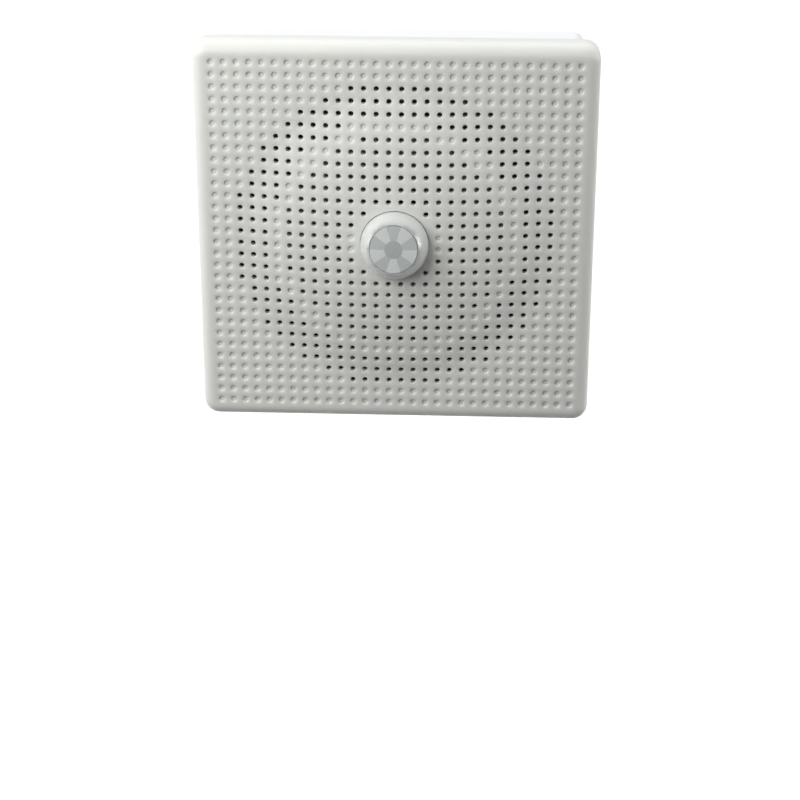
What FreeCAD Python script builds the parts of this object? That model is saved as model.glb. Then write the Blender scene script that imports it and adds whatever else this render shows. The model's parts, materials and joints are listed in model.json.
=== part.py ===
import FreeCAD, Part
import math
import os

# Motion sensor door chime on its round wall bracket.
# Millimetres. +Z is up, the wall is the plane y = 0 and the chime faces -Y.
# The origin lies on the wall, midway between the two lower wall screws.

Vec = FreeCAD.Vector
AXIS_Y = Vec(0, 1, 0)
AXIS_Z = Vec(0, 0, 1)

# Wall bracket: a round tray that the chime hooks on to
ring_radius = 63.5
ring_wall = 2.5
bracket_depth = 5.8
bracket_floor = 1.5
lower_screw_spacing = 73.0
lower_screw_drop = 36.4
upper_screw_rise = 48.1
wall_screw_hole = 3.9
wall_boss_radius = 5.2
window_width = 44.8
window_height = 67.0
window_corner = 4.0
window_flare = 3.2
window_wall = 1.3
chord_rib_offset = 48.5
chord_rib_wall = 1.6
channel_width = 8.0
channel_wall = 1.3
channel_roof = 1.2
lower_channel_x = 7.2
upper_channel_x = 9.6
hook_spacing = 82.2
slot_width = 9.8
slot_top = 37.5
slot_bevel = 1.0
tongue_bottom = -21.0
tongue_top = -4.2
tongue_step = 0.5

# Rear housing: a square tray with a raised back panel
face_below_ring = 3.0
housing_width = 142.0
housing_corner = 4.2
housing_wall = 2.2
housing_depth = 29.8
plateau_width = 136.0
plateau_corner = 5.0
plateau_rise = 4.2
back_wall = 2.4
slide_gap = 0.3
notch_width = 58.6
notch_height = 19.0
label_width = 34.8
label_height = 22.0
label_depth = 0.3
hook_width = 8.8
hook_post_height = 15.0
hook_reach = 9.0
hook_ramp = 5.0
hook_tip = 0.8
hook_wall_gap = 1.2

# Front cover: a shallow square tray with a perforated dome
face_width = 152.4
face_corner = 6.0
face_round = 4.5
cover_depth = 12.0
face_wall = 2.4
skirt_wall = 1.9
dome_radius = 57.0
dome_rise = 5.9
hole_pitch = 4.75
hole_rows = 30
hole_diameter = 2.1
hole_sides = 4
holes_within = 62.2
holes_beyond = 15.2
seat_margin = 0.2

# Four case screws under round caps
case_screw_spacing = 116.0
case_boss_radius = 4.5
case_column_radius = 6.0
case_column_depth = 28.0
case_seat = 3.0
case_screw_shank = 2.5
case_screw_head = 5.6
case_screw_length = 13.0
cap_diameter = 9.2
cap_proud = 0.9
cap_recess_diameter = 11.2
cap_recess_depth = 0.5
cap_stem_length = 4.0
cap_bore_diameter = 8.0

# Sensor ball in its socket
ball_radius = 13.1
ball_proud = 0.4
ball_shell = 1.6
ball_clearance = 0.08
opening_gap = 0.3
ball_split = 2.0
ball_step = 9.0
rest_tilt = 9.0
lens_window_radius = 9.1
lens_lip = 0.9
lens_thickness = 0.9
lens_rise = 1.1
lens_disc_radius = 3.5
pir_can_radius = 4.6
pir_can_height = 4.2
pir_board_thickness = 1.2
pir_shelf = 0.8
pir_well = 5.0
neck_radius = 3.0
neck_bore = 1.5
neck_end = 19.2
ring_angle = 50.0
ring_half_angle = 9.0
friction_ring_thickness = 1.35
socket_half_angle = 15.0
socket_wall = 1.8
socket_plate = 2.0
socket_boss_pitches = 3.5
socket_boss_radius = 3.4
washer_thickness = 1.0
washer_angle = 37.5
clip_radius = 5.0
clip_thickness = 0.8

# Loudspeaker
speaker_seat_radius = 45.4
speaker_seat_wall = 3.4
speaker_seat_depth = 5.2
speaker_boss_across = 9.5
speaker_boss_along = 3.5
speaker_boss_radius = 2.3
speaker_screw_head = 6.8
gasket_thickness = 0.6
frame_flange = 1.2
frame_radius = 46.4
surround_radius = 41.0
cone_radius = 37.5
cone_depth = 12.5
cone_wall = 0.8
coil_radius = 12.5
frame_wall = 1.4
frame_windows = 6
frame_window_share = 1.1
magnet_radius = 21.0
magnet_depth = 9.0
magnet_plate = 2.5
dust_cap_rise = 2.2
dust_cap_shoulder = 0.55
dust_cap_shoulder_rise = 0.75

# Electronics on the rear housing's lower half
board_width = 96.0
board_height = 40.0
board_thickness = 1.6
board_standoff = 6.0
board_post_radius = 2.8
board_post_x = 40.0
board_post_z = 15.0
jack_x = 22.0
jack_width = 9.0
jack_height = 11.0
jack_length = 13.0
jack_nose_radius = 4.0
jack_bore_radius = 2.85
jack_bore_depth = 9.5
jack_pin_radius = 1.05
jack_pin_setback = 1.0
switch_x = -24.0
switch_length = 12.0
switch_height = 5.6
switch_width = 5.0
knob_length = 4.0
knob_thickness = 2.4
knob_travel = 2.0
knob_proud = 1.2
knob_ridges = 3
chip_x = -4.0
chip_z = -3.0
chip_width = 12.8
chip_height = 7.5
chip_rise = 2.3
chip_bevel = 0.4
large_can_x = 34.0
large_can_radius = 4.0
large_can_rise = 9.0
small_can_x = 23.5
small_can_radius = 3.15
small_can_rise = 7.5
cans_z = -2.0
can_bevel = 0.5
speaker_plug_x = -37.0
speaker_plug_width = 6.0
sensor_plug_x = -28.0
sensor_plug_width = 8.0
plug_z = 4.0
plug_height = 4.4
plug_rise = 5.6
plug_wall = 0.7
plug_floor = 1.2

# Small screws, all of one pattern
screw_shank = 2.2
screw_head = 4.4
screw_head_height = 1.5
screw_clearance = 0.02
pilot_floor = 1.2

# Derived places
ring_z = lower_screw_drop
face_z = ring_z - face_below_ring
plateau_y = -(bracket_depth + slide_gap)
ledge_y = plateau_y - plateau_rise
cover_back_y = ledge_y - housing_depth
face_y = cover_back_y - cover_depth
dome_sphere = (dome_radius ** 2 + dome_rise ** 2) / (2 * dome_rise)
dome_centre_y = face_y - dome_rise + dome_sphere
ball_y = face_y - dome_rise - ball_proud
ball_centre = Vec(0, ball_y, face_z)
speaker_seat_y = face_y + face_wall + speaker_seat_depth - dome_rise / 2
flange_y = speaker_seat_y + gasket_thickness
housing_inner = housing_width / 2 - housing_wall
floor_z = face_z - housing_width / 2
board_back_y = plateau_y - back_wall - board_standoff
board_front_y = board_back_y - board_thickness
board_mid_z = floor_z + housing_wall + 1.0 + board_height / 2


def block(x0, x1, y0, y1, z0, z1):
    """Box between two corners."""
    return Part.makeBox(x1 - x0, y1 - y0, z1 - z0, Vec(x0, y0, z0))


def rod(x, z, radius, y0, y1):
    """Round bar along Y."""
    return Part.makeCylinder(radius, y1 - y0, Vec(x, y0, z), AXIS_Y)


def tube(x, z, outer, inner, y0, y1):
    """Round tube along Y."""
    return rod(x, z, outer, y0, y1).cut(rod(x, z, inner, y0, y1))


def rounded_outline(half_x, half_z, corner, y, mid_z):
    """Closed wire of a rectangle with round corners, square to Y."""
    quarter = math.sin(math.pi / 4)
    edges = []
    start = None
    for sx, sz in ((1, 1), (-1, 1), (-1, -1), (1, -1)):
        cx = sx * (half_x - corner)
        cz = sz * (half_z - corner)
        side = Vec(sx * half_x, y, mid_z + cz)
        end = Vec(cx, y, mid_z + sz * half_z)
        middle = Vec(cx + sx * corner * quarter, y, mid_z + cz + sz * corner * quarter)
        first, last = (side, end) if sx * sz > 0 else (end, side)
        if edges:
            edges.append(Part.makeLine(reached, first))
        else:
            start = first
        edges.append(Part.Arc(first, middle, last).toShape())
        reached = last
    edges.append(Part.makeLine(reached, start))
    return Part.Wire(edges)


def rounded_slab(width, corner, y0, y1, mid_z, height=None):
    """Slab between two depths with round corners seen from the front."""
    tall = width if height is None else height
    wire = rounded_outline(width / 2, tall / 2, corner, y0, mid_z)
    return Part.Face(wire).extrude(Vec(0, y1 - y0, 0))


def flared_slab(half_x, half_z, corner, grow, y0, y1, mid_z):
    """Slab that grows by the same amount on every side from y0 to y1."""
    small = rounded_outline(half_x, half_z, corner, y0, mid_z)
    large = rounded_outline(half_x + grow, half_z + grow, corner + grow, y1, mid_z)
    return Part.makeLoft([small, large], True, True)


def turned(points, centre=Vec(0, 0, 0)):
    """Solid turned about the Y axis from a closed profile of radius and depth."""
    corners = [Vec(radius, depth, 0) for radius, depth in points]
    face = Part.Face(Part.makePolygon(corners + corners[:1]))
    solid = face.revolve(Vec(0, 0, 0), AXIS_Y, 360)
    solid.translate(centre)
    return solid


def joined(shapes):
    """One solid out of touching pieces."""
    whole = shapes[0].fuse(shapes[1:]) if len(shapes) > 1 else shapes[0]
    return whole.removeSplitter()


def small_screw(x, z, seat_y, length, head_diameter):
    """Screw driven towards -Y, its head resting on seat_y."""
    head = rod(x, z, head_diameter / 2, seat_y, seat_y + screw_head_height)
    shank = rod(x, z, screw_shank / 2 - screw_clearance, seat_y - length, seat_y)
    return head.fuse(shank)


def face_quarters(spacing):
    """The four places at the corners of a square on the face."""
    half = spacing / 2
    return [(sx * half, face_z + sz * half) for sx in (-1, 1) for sz in (-1, 1)]


def speaker_bosses():
    """Centres of the four loudspeaker bosses, a quarter turn apart."""
    across = speaker_boss_across * hole_pitch
    along = speaker_boss_along * hole_pitch
    return [(-along, face_z + across), (across, face_z + along),
            (along, face_z - across), (-across, face_z - along)]


def socket_bosses():
    """Centres of the two bosses beside the ball."""
    reach = socket_boss_pitches * hole_pitch
    return [(-reach, face_z), (reach, face_z)]


# Wall bracket

def bracket_window():
    """Cable window with its flared rim, and the opening inside it."""
    half_x = window_width / 2
    half_z = window_height / 2
    rim = flared_slab(half_x + window_wall, half_z + window_wall, window_corner + window_wall,
                      window_flare, -bracket_depth, 0, ring_z)
    hole = flared_slab(half_x, half_z, window_corner, window_flare, -bracket_depth, 0, ring_z)
    return rim, hole


def channel(x_mid, towards):
    """Roofed cable channel from the window to the ring, and the space inside it."""
    half = channel_width / 2
    near = window_height / 2 - window_wall
    far = ring_radius + 1
    if towards > 0:
        z0, z1 = ring_z + near, ring_z + far
    else:
        z0, z1 = ring_z - far, ring_z - near
    walls = block(x_mid - half - channel_wall, x_mid + half + channel_wall, -bracket_depth, 0, z0, z1)
    space = block(x_mid - half, x_mid + half, -bracket_depth, -channel_roof, z0, z1)
    arch = [edge for edge in space.Edges if is_channel_arch(edge)]
    space = space.makeFillet(channel_width / 5, arch)
    return walls, space


def is_channel_arch(edge):
    """True for the two long edges under a channel's roof."""
    ends = [vertex.Point for vertex in edge.Vertexes]
    under_roof = all(abs(point.y + channel_roof) < 0.01 for point in ends)
    return under_roof and abs(ends[0].z - ends[1].z) > 1


def bracket_slot(side):
    """Bevelled hook slot beyond the tongue."""
    x_mid = side * hook_spacing / 2
    z0, z1 = ring_z + tongue_top, ring_z + slot_top
    half = slot_width / 2
    low = -bracket_depth
    high = -bracket_depth + bracket_floor
    profile = [Vec(x_mid - half, low, z0), Vec(x_mid + half, low, z0),
               Vec(x_mid + half + slot_bevel, high, z0), Vec(x_mid - half - slot_bevel, high, z0)]
    return Part.Face(Part.makePolygon(profile + profile[:1])).extrude(Vec(0, 0, z1 - z0))


def wall_bracket():
    """Round bracket with window, ribs, bosses, cable channels and hook slots."""
    disc = rod(0, ring_z, ring_radius, -bracket_depth, 0)
    hollow = rod(0, ring_z, ring_radius - ring_wall, -bracket_depth + bracket_floor, 0)
    body = disc.cut(hollow)
    rim, hole = bracket_window()
    inside = rod(0, ring_z, ring_radius - ring_wall / 2, -bracket_depth, 0)
    pieces = [body, rim]
    for side in (-1, 1):
        z_mid = ring_z + side * chord_rib_offset
        rib = block(-ring_radius, ring_radius, -bracket_depth, 0,
                    z_mid - chord_rib_wall / 2, z_mid + chord_rib_wall / 2)
        pieces.append(rib.common(inside))
        x_mid = side * hook_spacing / 2
        step_y = -bracket_depth + bracket_floor + tongue_step
        pieces.append(block(x_mid - slot_width / 2, x_mid + slot_width / 2, -bracket_depth, step_y,
                            ring_z + tongue_bottom, ring_z + tongue_top))
    spaces = [hole]
    for x_mid, towards in ((lower_channel_x, -1), (-upper_channel_x, 1), (upper_channel_x, 1)):
        walls, space = channel(x_mid, towards)
        pieces.append(walls.common(inside))
        spaces.append(space)
    for x, z in wall_screw_places():
        pieces.append(rod(x, z, wall_boss_radius, -bracket_depth, 0))
        spaces.append(rod(x, z, wall_screw_hole / 2, -bracket_depth, 0))
    for side in (-1, 1):
        spaces.append(bracket_slot(side))
    return joined(pieces).cut(Part.makeCompound(spaces)).removeSplitter()


def wall_screw_places():
    """Two lower screw holes and one upper one."""
    half = lower_screw_spacing / 2
    return [(-half, 0), (half, 0), (0, ring_z + upper_screw_rise)]


# Rear housing

def housing_hook(side):
    """Hook that points down behind the bracket's tongue."""
    x_mid = side * hook_spacing / 2
    top = -hook_wall_gap
    under = -bracket_depth + bracket_floor + tongue_step + slide_gap
    heel = ring_z + tongue_top + slide_gap
    tip = heel - hook_reach
    shoulder = heel + hook_post_height
    outline = [Vec(0, plateau_y, heel), Vec(0, plateau_y, shoulder), Vec(0, top, shoulder),
               Vec(0, top, tip + hook_ramp), Vec(0, under + hook_tip, tip), Vec(0, under, tip),
               Vec(0, under, heel)]
    hook = Part.Face(Part.makePolygon(outline + outline[:1])).extrude(Vec(hook_width, 0, 0))
    hook.translate(Vec(x_mid - hook_width / 2, 0, 0))
    return hook


def housing_shell():
    """Walls, ledge and raised back panel, hollow from the front."""
    outer = rounded_slab(housing_width, housing_corner, cover_back_y, ledge_y, face_z)
    ledge_edges = [edge for edge in outer.Edges if lies_at(edge, ledge_y)]
    outer = outer.makeFillet(housing_wall / 2, ledge_edges)
    plateau = rounded_slab(plateau_width, plateau_corner, ledge_y, plateau_y, face_z)
    plateau_edges = [edge for edge in plateau.Edges if lies_at(edge, plateau_y)]
    plateau = plateau.makeFillet(back_wall / 3, plateau_edges)
    lip_width = face_width - 2 * skirt_wall - 2 * slide_gap
    lip = rounded_slab(lip_width, face_corner - skirt_wall, cover_back_y - housing_wall, cover_back_y, face_z)
    cavity = rounded_slab(2 * housing_inner, housing_corner - housing_wall, cover_back_y - housing_wall,
                          ledge_y - back_wall, face_z)
    upper_cavity = rounded_slab(plateau_width - 2 * back_wall, plateau_corner - back_wall,
                                ledge_y - back_wall, plateau_y - back_wall, face_z)
    return outer.fuse([plateau, lip]).cut(cavity.fuse(upper_cavity))


def lies_at(edge, y):
    """True for an edge that lies wholly at depth y."""
    box = edge.BoundBox
    return abs(box.YMin - y) < 0.01 and abs(box.YMax - y) < 0.01


def cord_notch():
    """Notch under the bracket's rim where a cord reaches the back, and the floor under it."""
    half = notch_width / 2
    bottom = face_z - plateau_width / 2
    top = bottom + notch_height
    space = block(-half, half, ledge_y, plateau_y, bottom, top)
    below = block(-half - back_wall, half + back_wall, ledge_y - back_wall, plateau_y - back_wall / 2,
                  bottom + back_wall / 2, top + back_wall)
    return space, below


def rear_housing():
    """Rear housing with hooks, columns, board posts and the openings in its lower wall."""
    space, below = cord_notch()
    pieces = [housing_shell(), below, housing_hook(-1), housing_hook(1)]
    holes = [space]
    for x, z in face_quarters(case_screw_spacing):
        pieces.append(rod(x, z, case_column_radius, plateau_y - case_column_depth, plateau_y - back_wall / 2))
        holes.append(rod(x, z, cap_recess_diameter / 2, plateau_y - cap_recess_depth, plateau_y))
        holes.append(rod(x, z, cap_bore_diameter / 2, plateau_y - case_column_depth + case_seat, plateau_y))
        holes.append(rod(x, z, case_screw_shank / 2 + slide_gap, plateau_y - case_column_depth, plateau_y))
    for x, z in board_posts():
        pieces.append(rod(x, z, board_post_radius, board_back_y, plateau_y - back_wall / 2))
        holes.append(rod(x, z, screw_shank / 2, board_back_y, plateau_y - back_wall - pilot_floor))
    holes.append(Part.makeCylinder(jack_nose_radius + slide_gap, 3 * housing_wall,
                                   Vec(jack_x, jack_mid_y(), floor_z - housing_wall), AXIS_Z))
    slot_half = knob_length / 2 + knob_travel + slide_gap
    slot_deep = knob_thickness / 2 + slide_gap
    holes.append(block(switch_x - slot_half, switch_x + slot_half, switch_mid_y() - slot_deep,
                       switch_mid_y() + slot_deep, floor_z - housing_wall, floor_z + 2 * housing_wall))
    holes.append(block(-label_width / 2, label_width / 2, plateau_y - label_depth, plateau_y,
                       face_z - label_height / 2, face_z + label_height / 2))
    return joined(pieces).cut(Part.makeCompound(holes)).removeSplitter()


def case_screws():
    """Four long screws that draw the two shells together."""
    screws = []
    seat = plateau_y - case_column_depth + case_seat
    for x, z in face_quarters(case_screw_spacing):
        head = rod(x, z, case_screw_head / 2, seat, seat + screw_head_height)
        shank = rod(x, z, case_screw_shank / 2 - screw_clearance, seat - case_screw_length, seat)
        screws.append(head.fuse(shank))
    return Part.makeCompound(screws)


def screw_caps():
    """Four round plugs over the case screws."""
    caps = []
    for x, z in face_quarters(case_screw_spacing):
        low = plateau_y - cap_recess_depth
        head = rod(x, z, cap_diameter / 2, low, plateau_y + cap_proud)
        stem = rod(x, z, cap_bore_diameter / 2 - screw_clearance, low - cap_stem_length, low)
        caps.append(head.fuse(stem))
    return Part.makeCompound(caps)


# Front cover

def dome(inset):
    """Cap of the dome's sphere, taken in by inset."""
    ball = Part.makeSphere(dome_sphere - inset, Vec(0, dome_centre_y, face_z))
    reach = rod(0, face_z, dome_radius + hole_pitch, face_y - 2 * dome_rise, face_y + face_wall)
    return ball.common(reach)


def cover_shell():
    """Square tray with a rounded front edge and the dome raised from its face."""
    tray = rounded_slab(face_width, face_corner, face_y, cover_back_y, face_z)
    front_edges = [edge for edge in tray.Edges if lies_at(edge, face_y)]
    tray = tray.makeFillet(face_round, front_edges)
    cavity = rounded_slab(face_width - 2 * skirt_wall, face_corner - skirt_wall, face_y + face_wall,
                          cover_back_y, face_z)
    return tray.cut(cavity).fuse(dome(0)).cut(dome(face_wall))


def is_open(x, z):
    """True where the face is pierced behind a dimple at x, z from the face's centre."""
    radius = math.hypot(x, z)
    if not holes_beyond < radius < holes_within:
        return False
    if abs(radius - speaker_seat_radius) < speaker_seat_wall / 2 + seat_margin:
        return False
    for places, reach in ((speaker_bosses(), speaker_boss_radius), (socket_bosses(), socket_boss_radius)):
        for boss_x, boss_z in places:
            if math.hypot(x - boss_x, z + face_z - boss_z) < reach:
                return False
    return True


def sound_holes():
    """Prisms for the pierced places of the square grid."""
    prisms = []
    first = -(hole_rows - 1) / 2 * hole_pitch
    radius = hole_diameter / 2
    corners = [2 * math.pi * corner / hole_sides for corner in range(hole_sides)]
    front = face_y - 2 * dome_rise
    ring = [Vec(radius * math.cos(turn), front, face_z + radius * math.sin(turn)) for turn in corners]
    outline = Part.Face(Part.makePolygon(ring + ring[:1]))
    prism = outline.extrude(Vec(0, 2 * dome_rise + 2 * face_wall, 0))
    for row in range(hole_rows):
        for column in range(hole_rows):
            x = first + column * hole_pitch
            z = first + row * hole_pitch
            if not is_open(x, z):
                continue
            prisms.append(prism.translated(Vec(x, 0, z)))
    return prisms


def dome_inside_y(radius):
    """Depth of the dome's inner surface at a radius from the face's centre."""
    inner = dome_sphere - face_wall
    return dome_centre_y - math.sqrt(inner ** 2 - radius ** 2)


def socket_plate_y():
    """Depth of the face that the socket's plate rests on."""
    seat = ball_radius + 2 * ball_clearance + friction_ring_thickness
    return ball_y + seat / math.cos(math.radians(socket_half_angle)) * math.cos(
        math.radians(ring_angle + socket_half_angle))


def cover_fittings():
    """Seat ring, bosses and collar inside the front cover."""
    outer = speaker_seat_radius + speaker_seat_wall / 2
    inner = speaker_seat_radius - speaker_seat_wall / 2
    low = dome_inside_y(inner) - face_wall / 2
    pieces = [tube(0, face_z, outer, inner, low, speaker_seat_y)]
    pilots = []
    room = ball_radius + ball_clearance + friction_ring_thickness + slide_gap
    ball_room = Part.makeSphere(room, ball_centre)
    foot = dome_inside_y(outer)
    for x, z in speaker_bosses():
        pieces.append(rod(x, z, speaker_boss_radius, foot - face_wall / 2, speaker_screw_seat()))
        pilots.append(rod(x, z, screw_shank / 2, foot, speaker_screw_seat()))
    for x, z in socket_bosses():
        inside = dome_inside_y(abs(x))
        boss = rod(x, z, socket_boss_radius, inside - face_wall / 2, socket_plate_y())
        pieces.append(boss.cut(ball_room))
        pilots.append(rod(x, z, screw_shank / 2, inside - face_wall + pilot_floor, socket_plate_y()))
    return pieces, pilots


def case_bosses():
    """Four bosses with their ribs that take the case screws."""
    bosses = []
    top = plateau_y - case_column_depth
    for x, z in face_quarters(case_screw_spacing):
        boss = rod(x, z, case_boss_radius, face_y + face_wall / 2, top).fuse(corner_rib(x, z))
        bosses.append(boss.cut(rod(x, z, case_screw_shank / 2, face_y + face_wall, top)))
    return bosses


def corner_rib(x, z):
    """Rib that ties a case boss to the nearest side of the skirt."""
    side = face_width / 2 - skirt_wall / 2
    x0, x1 = sorted((x, math.copysign(side, x)))
    half = skirt_wall / 2
    return block(x0, x1, face_y + face_wall / 2, cover_back_y - 2 * housing_wall, z - half, z + half)


def front_cover():
    """Front cover, its grille in spline form so that each hole's edges stay simple."""
    shell = cover_shell()
    grille_width = face_width - 2 * face_round - 2 * hole_diameter
    middle = rounded_slab(grille_width, face_corner / 2, face_y - 2 * dome_rise, face_y + face_wall, face_z)
    opening = rod(0, face_z, ball_radius + opening_gap, face_y - 2 * dome_rise, socket_plate_y())
    grille = shell.common(middle).cut(Part.makeCompound(sound_holes() + [opening])).toNurbs()
    pieces, pilots = cover_fittings()
    solid = grille.fuse([shell.cut(middle)] + pieces + case_bosses())
    return solid.cut(Part.makeCompound(pilots))


# Sensor ball and socket

def on_sphere(radius, degrees):
    """Radius and depth of a point on a sphere, counted from the back of the ball."""
    turn = math.radians(degrees)
    return radius * math.sin(turn), radius * math.cos(turn)


def placed_ball(shape):
    """Turn a piece of the ball to its tilt at rest and move it to the ball's centre."""
    shape.rotate(Vec(0, 0, 0), Vec(1, 0, 0), -rest_tilt)
    shape.translate(ball_centre)
    return shape


def ball_outline(first, last):
    """Points of the ball's outline in short straight steps, counted from its back."""
    steps = round((last - first) / ball_step)
    return [on_sphere(ball_radius, first + (last - first) * step / steps) for step in range(steps + 1)]


def split_angle():
    """Angle from the back of the ball to the joint between its halves."""
    return math.degrees(math.acos(ball_split / ball_radius))


def lens_seat_y():
    """Depth of the shoulder behind the ball's window, before the ball is tilted."""
    rim = math.sqrt(ball_radius ** 2 - lens_window_radius ** 2)
    return -rim + lens_lip


def sensor_ball_front():
    """Front half of the ball with its round window and the shoulder behind it."""
    window_angle = 180 - math.degrees(math.asin(lens_window_radius / ball_radius))
    inner = ball_radius - 2 * ball_shell
    profile = ball_outline(split_angle(), window_angle)
    profile += [(lens_window_radius, lens_seat_y()), (inner, lens_seat_y()), (inner, ball_split)]
    return placed_ball(turned(profile))


def sensor_ball_rear():
    """Rear half of the ball with the hollow neck that the wires leave by."""
    neck_angle = math.degrees(math.asin(neck_radius / ball_radius))
    inner = ball_radius - 2 * ball_shell
    profile = ball_outline(neck_angle, split_angle())
    well = ball_split + pir_well
    profile += [(inner - pir_shelf, ball_split), (inner - pir_shelf, well), (neck_bore, well),
                (neck_bore, neck_end), (neck_radius, neck_end)]
    return placed_ball(turned(profile))


def fresnel_lens():
    """Thin coned lens with a flat middle and a flange behind the window."""
    seat = lens_seat_y()
    back = seat + lens_thickness
    outer = ball_radius - 2 * ball_shell - screw_clearance
    rim = lens_window_radius - 2 * screw_clearance
    profile = [(0, seat - lens_rise), (lens_disc_radius, seat - lens_rise), (rim, seat), (outer, seat),
               (outer, back), (rim - lens_thickness, back), (lens_disc_radius, back - lens_rise),
               (0, back - lens_rise)]
    return placed_ball(turned(profile))


def pir_sensor():
    """Sensor can behind the lens."""
    front = ball_split - pir_board_thickness - pir_can_height
    can = rod(0, 0, pir_can_radius, front, ball_split - pir_board_thickness)
    return placed_ball(can)


def pir_board():
    """Round board that fills the joint between the ball's halves."""
    radius = ball_radius - 2 * ball_shell - screw_clearance
    return placed_ball(rod(0, 0, radius, ball_split - pir_board_thickness, ball_split))


def friction_ring():
    """Nylon ring between ball and socket, with cone faces that touch the ball along a line."""
    inner = (ball_radius + ball_clearance) / math.cos(math.radians(ring_half_angle))
    outer = ball_radius + ball_clearance + friction_ring_thickness
    low = ring_angle - ring_half_angle
    high = ring_angle + ring_half_angle
    profile = [on_sphere(inner, low), on_sphere(inner, high), on_sphere(outer, high), on_sphere(outer, low)]
    return turned(profile, ball_centre)


def sensor_socket():
    """Socket behind the ball with a cone seat and two screw ears."""
    seat = ball_radius + 2 * ball_clearance + friction_ring_thickness
    inner = seat / math.cos(math.radians(socket_half_angle))
    outer = seat + socket_wall
    low = ring_angle - socket_half_angle
    high = ring_angle + socket_half_angle
    mouth_radius, mouth_y = on_sphere(inner, high)
    back_y = mouth_y + socket_plate
    edge = math.sqrt(outer ** 2 - back_y ** 2)
    plate_radius = socket_bosses()[1][0]
    profile = [on_sphere(inner, low), (mouth_radius, mouth_y), (plate_radius, mouth_y),
               (plate_radius, back_y), (edge, back_y), on_sphere(outer, ring_angle), on_sphere(outer, low)]
    body = turned(profile, ball_centre)
    ears = []
    holes = []
    for x, z in socket_bosses():
        ears.append(rod(x, z, socket_boss_radius, ball_y + mouth_y, ball_y + back_y))
        holes.append(rod(x, z, screw_shank / 2 + slide_gap, ball_y, ball_y + back_y))
    clear = rod(0, face_z, mouth_radius, ball_y, ball_y + mouth_y + socket_plate)
    ears = [ear.cut(clear) for ear in ears]
    return joined([body] + ears).cut(Part.makeCompound(holes))


def socket_screws():
    """Two screws that hold the socket to the front cover."""
    seat = socket_plate_y() + socket_plate
    screws = [small_screw(x, z, seat, screw_length_at(x), screw_head) for x, z in socket_bosses()]
    return Part.makeCompound(screws)


def screw_length_at(x):
    """Length of a socket screw that stops short of its pilot's floor."""
    floor = dome_inside_y(abs(x)) - face_wall + pilot_floor
    return socket_plate_y() + socket_plate - floor - slide_gap


def retaining_washer():
    """Dished washer on the neck that keeps the ball in its socket."""
    clear = ball_radius + 3 * ball_clearance + friction_ring_thickness + socket_wall
    first = math.degrees(math.asin((neck_radius + screw_clearance) / clear))
    step = (washer_angle - first) / 2
    inner = clear / math.cos(math.radians(step / 2))
    angles = [first, first + step, washer_angle]
    front = [on_sphere(inner, angle) for angle in angles]
    back = [on_sphere(inner + washer_thickness, angle) for angle in reversed(angles)]
    bore = neck_radius + screw_clearance
    front[0] = (bore, front[0][1])
    back[-1] = (bore, back[-1][1])
    return placed_ball(turned(front + back))


def retaining_clip():
    """Push-on clip behind the washer."""
    clear = ball_radius + 3 * ball_clearance + friction_ring_thickness + socket_wall
    seat = clear + washer_thickness + ball_clearance
    ring = tube(0, 0, clip_radius, neck_radius + screw_clearance, seat, seat + clip_thickness)
    return placed_ball(ring)


# Loudspeaker

def speaker_screw_seat():
    """Depth at which the loudspeaker's screw heads bear on its flange."""
    return flange_y + frame_flange


def speaker_gasket():
    """Foam ring between the seat and the loudspeaker."""
    inner = speaker_seat_radius - speaker_seat_wall / 2
    ring = tube(0, face_z, frame_radius, inner, speaker_seat_y, flange_y)
    return ring.cut(Part.makeCompound(speaker_boss_room()))


def speaker_boss_room():
    """Space that the four bosses take beside the loudspeaker."""
    return [rod(x, z, speaker_boss_radius + slide_gap, speaker_seat_y, speaker_screw_seat())
            for x, z in speaker_bosses()]


def frame_bottom_y():
    """Depth of the loudspeaker frame's rear ring."""
    return flange_y + cone_depth + frame_flange + frame_wall


def speaker_frame():
    """Pressed frame: flange, windowed basket and rear ring."""
    rear = frame_bottom_y()
    seat = speaker_screw_seat()
    hub = coil_radius + frame_wall
    profile = [(surround_radius, flange_y), (frame_radius, flange_y), (frame_radius, seat),
               (surround_radius + frame_wall, seat), (magnet_radius, rear), (hub, rear),
               (hub, rear - frame_wall), (magnet_radius - frame_wall, rear - frame_wall),
               (surround_radius, seat)]
    basket = turned(profile, Vec(0, 0, face_z))
    cuts = speaker_boss_room()
    reach = (surround_radius + magnet_radius) / 2
    width = reach * math.sin(math.pi / frame_windows) * frame_window_share
    for window in range(frame_windows):
        box = block(magnet_radius + frame_wall, surround_radius - frame_wall, flange_y + 2 * frame_flange,
                    rear + frame_wall, -width / 2, width / 2)
        box.rotate(Vec(0, 0, 0), AXIS_Y, 360 * (window + 0.5) / frame_windows)
        box.translate(Vec(0, 0, face_z))
        cuts.append(box)
    return basket.cut(Part.makeCompound(cuts))


def speaker_cone():
    """Paper cone with its half-roll surround on the frame's flange."""
    back = flange_y + cone_depth
    edge = surround_radius - screw_clearance
    roll_y = speaker_screw_seat() - (surround_radius - cone_radius) / 4
    neck = coil_radius + cone_wall
    profile = [(cone_radius, roll_y), (edge, flange_y), (edge, flange_y + cone_wall),
               (cone_radius, roll_y + cone_wall), (neck, back), (neck, back + cone_wall),
               (coil_radius, back + cone_wall), (coil_radius, back - cone_wall)]
    return turned(profile, Vec(0, 0, face_z))


def dust_cap():
    """Domed cap over the voice coil."""
    base = flange_y + cone_depth
    profile = [(0, base - dust_cap_rise),
               (coil_radius * dust_cap_shoulder, base - dust_cap_rise * dust_cap_shoulder_rise),
               (coil_radius - screw_clearance, base), (coil_radius - screw_clearance, base + cone_wall),
               (0, base + cone_wall - dust_cap_rise)]
    return turned(profile, Vec(0, 0, face_z))


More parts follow.
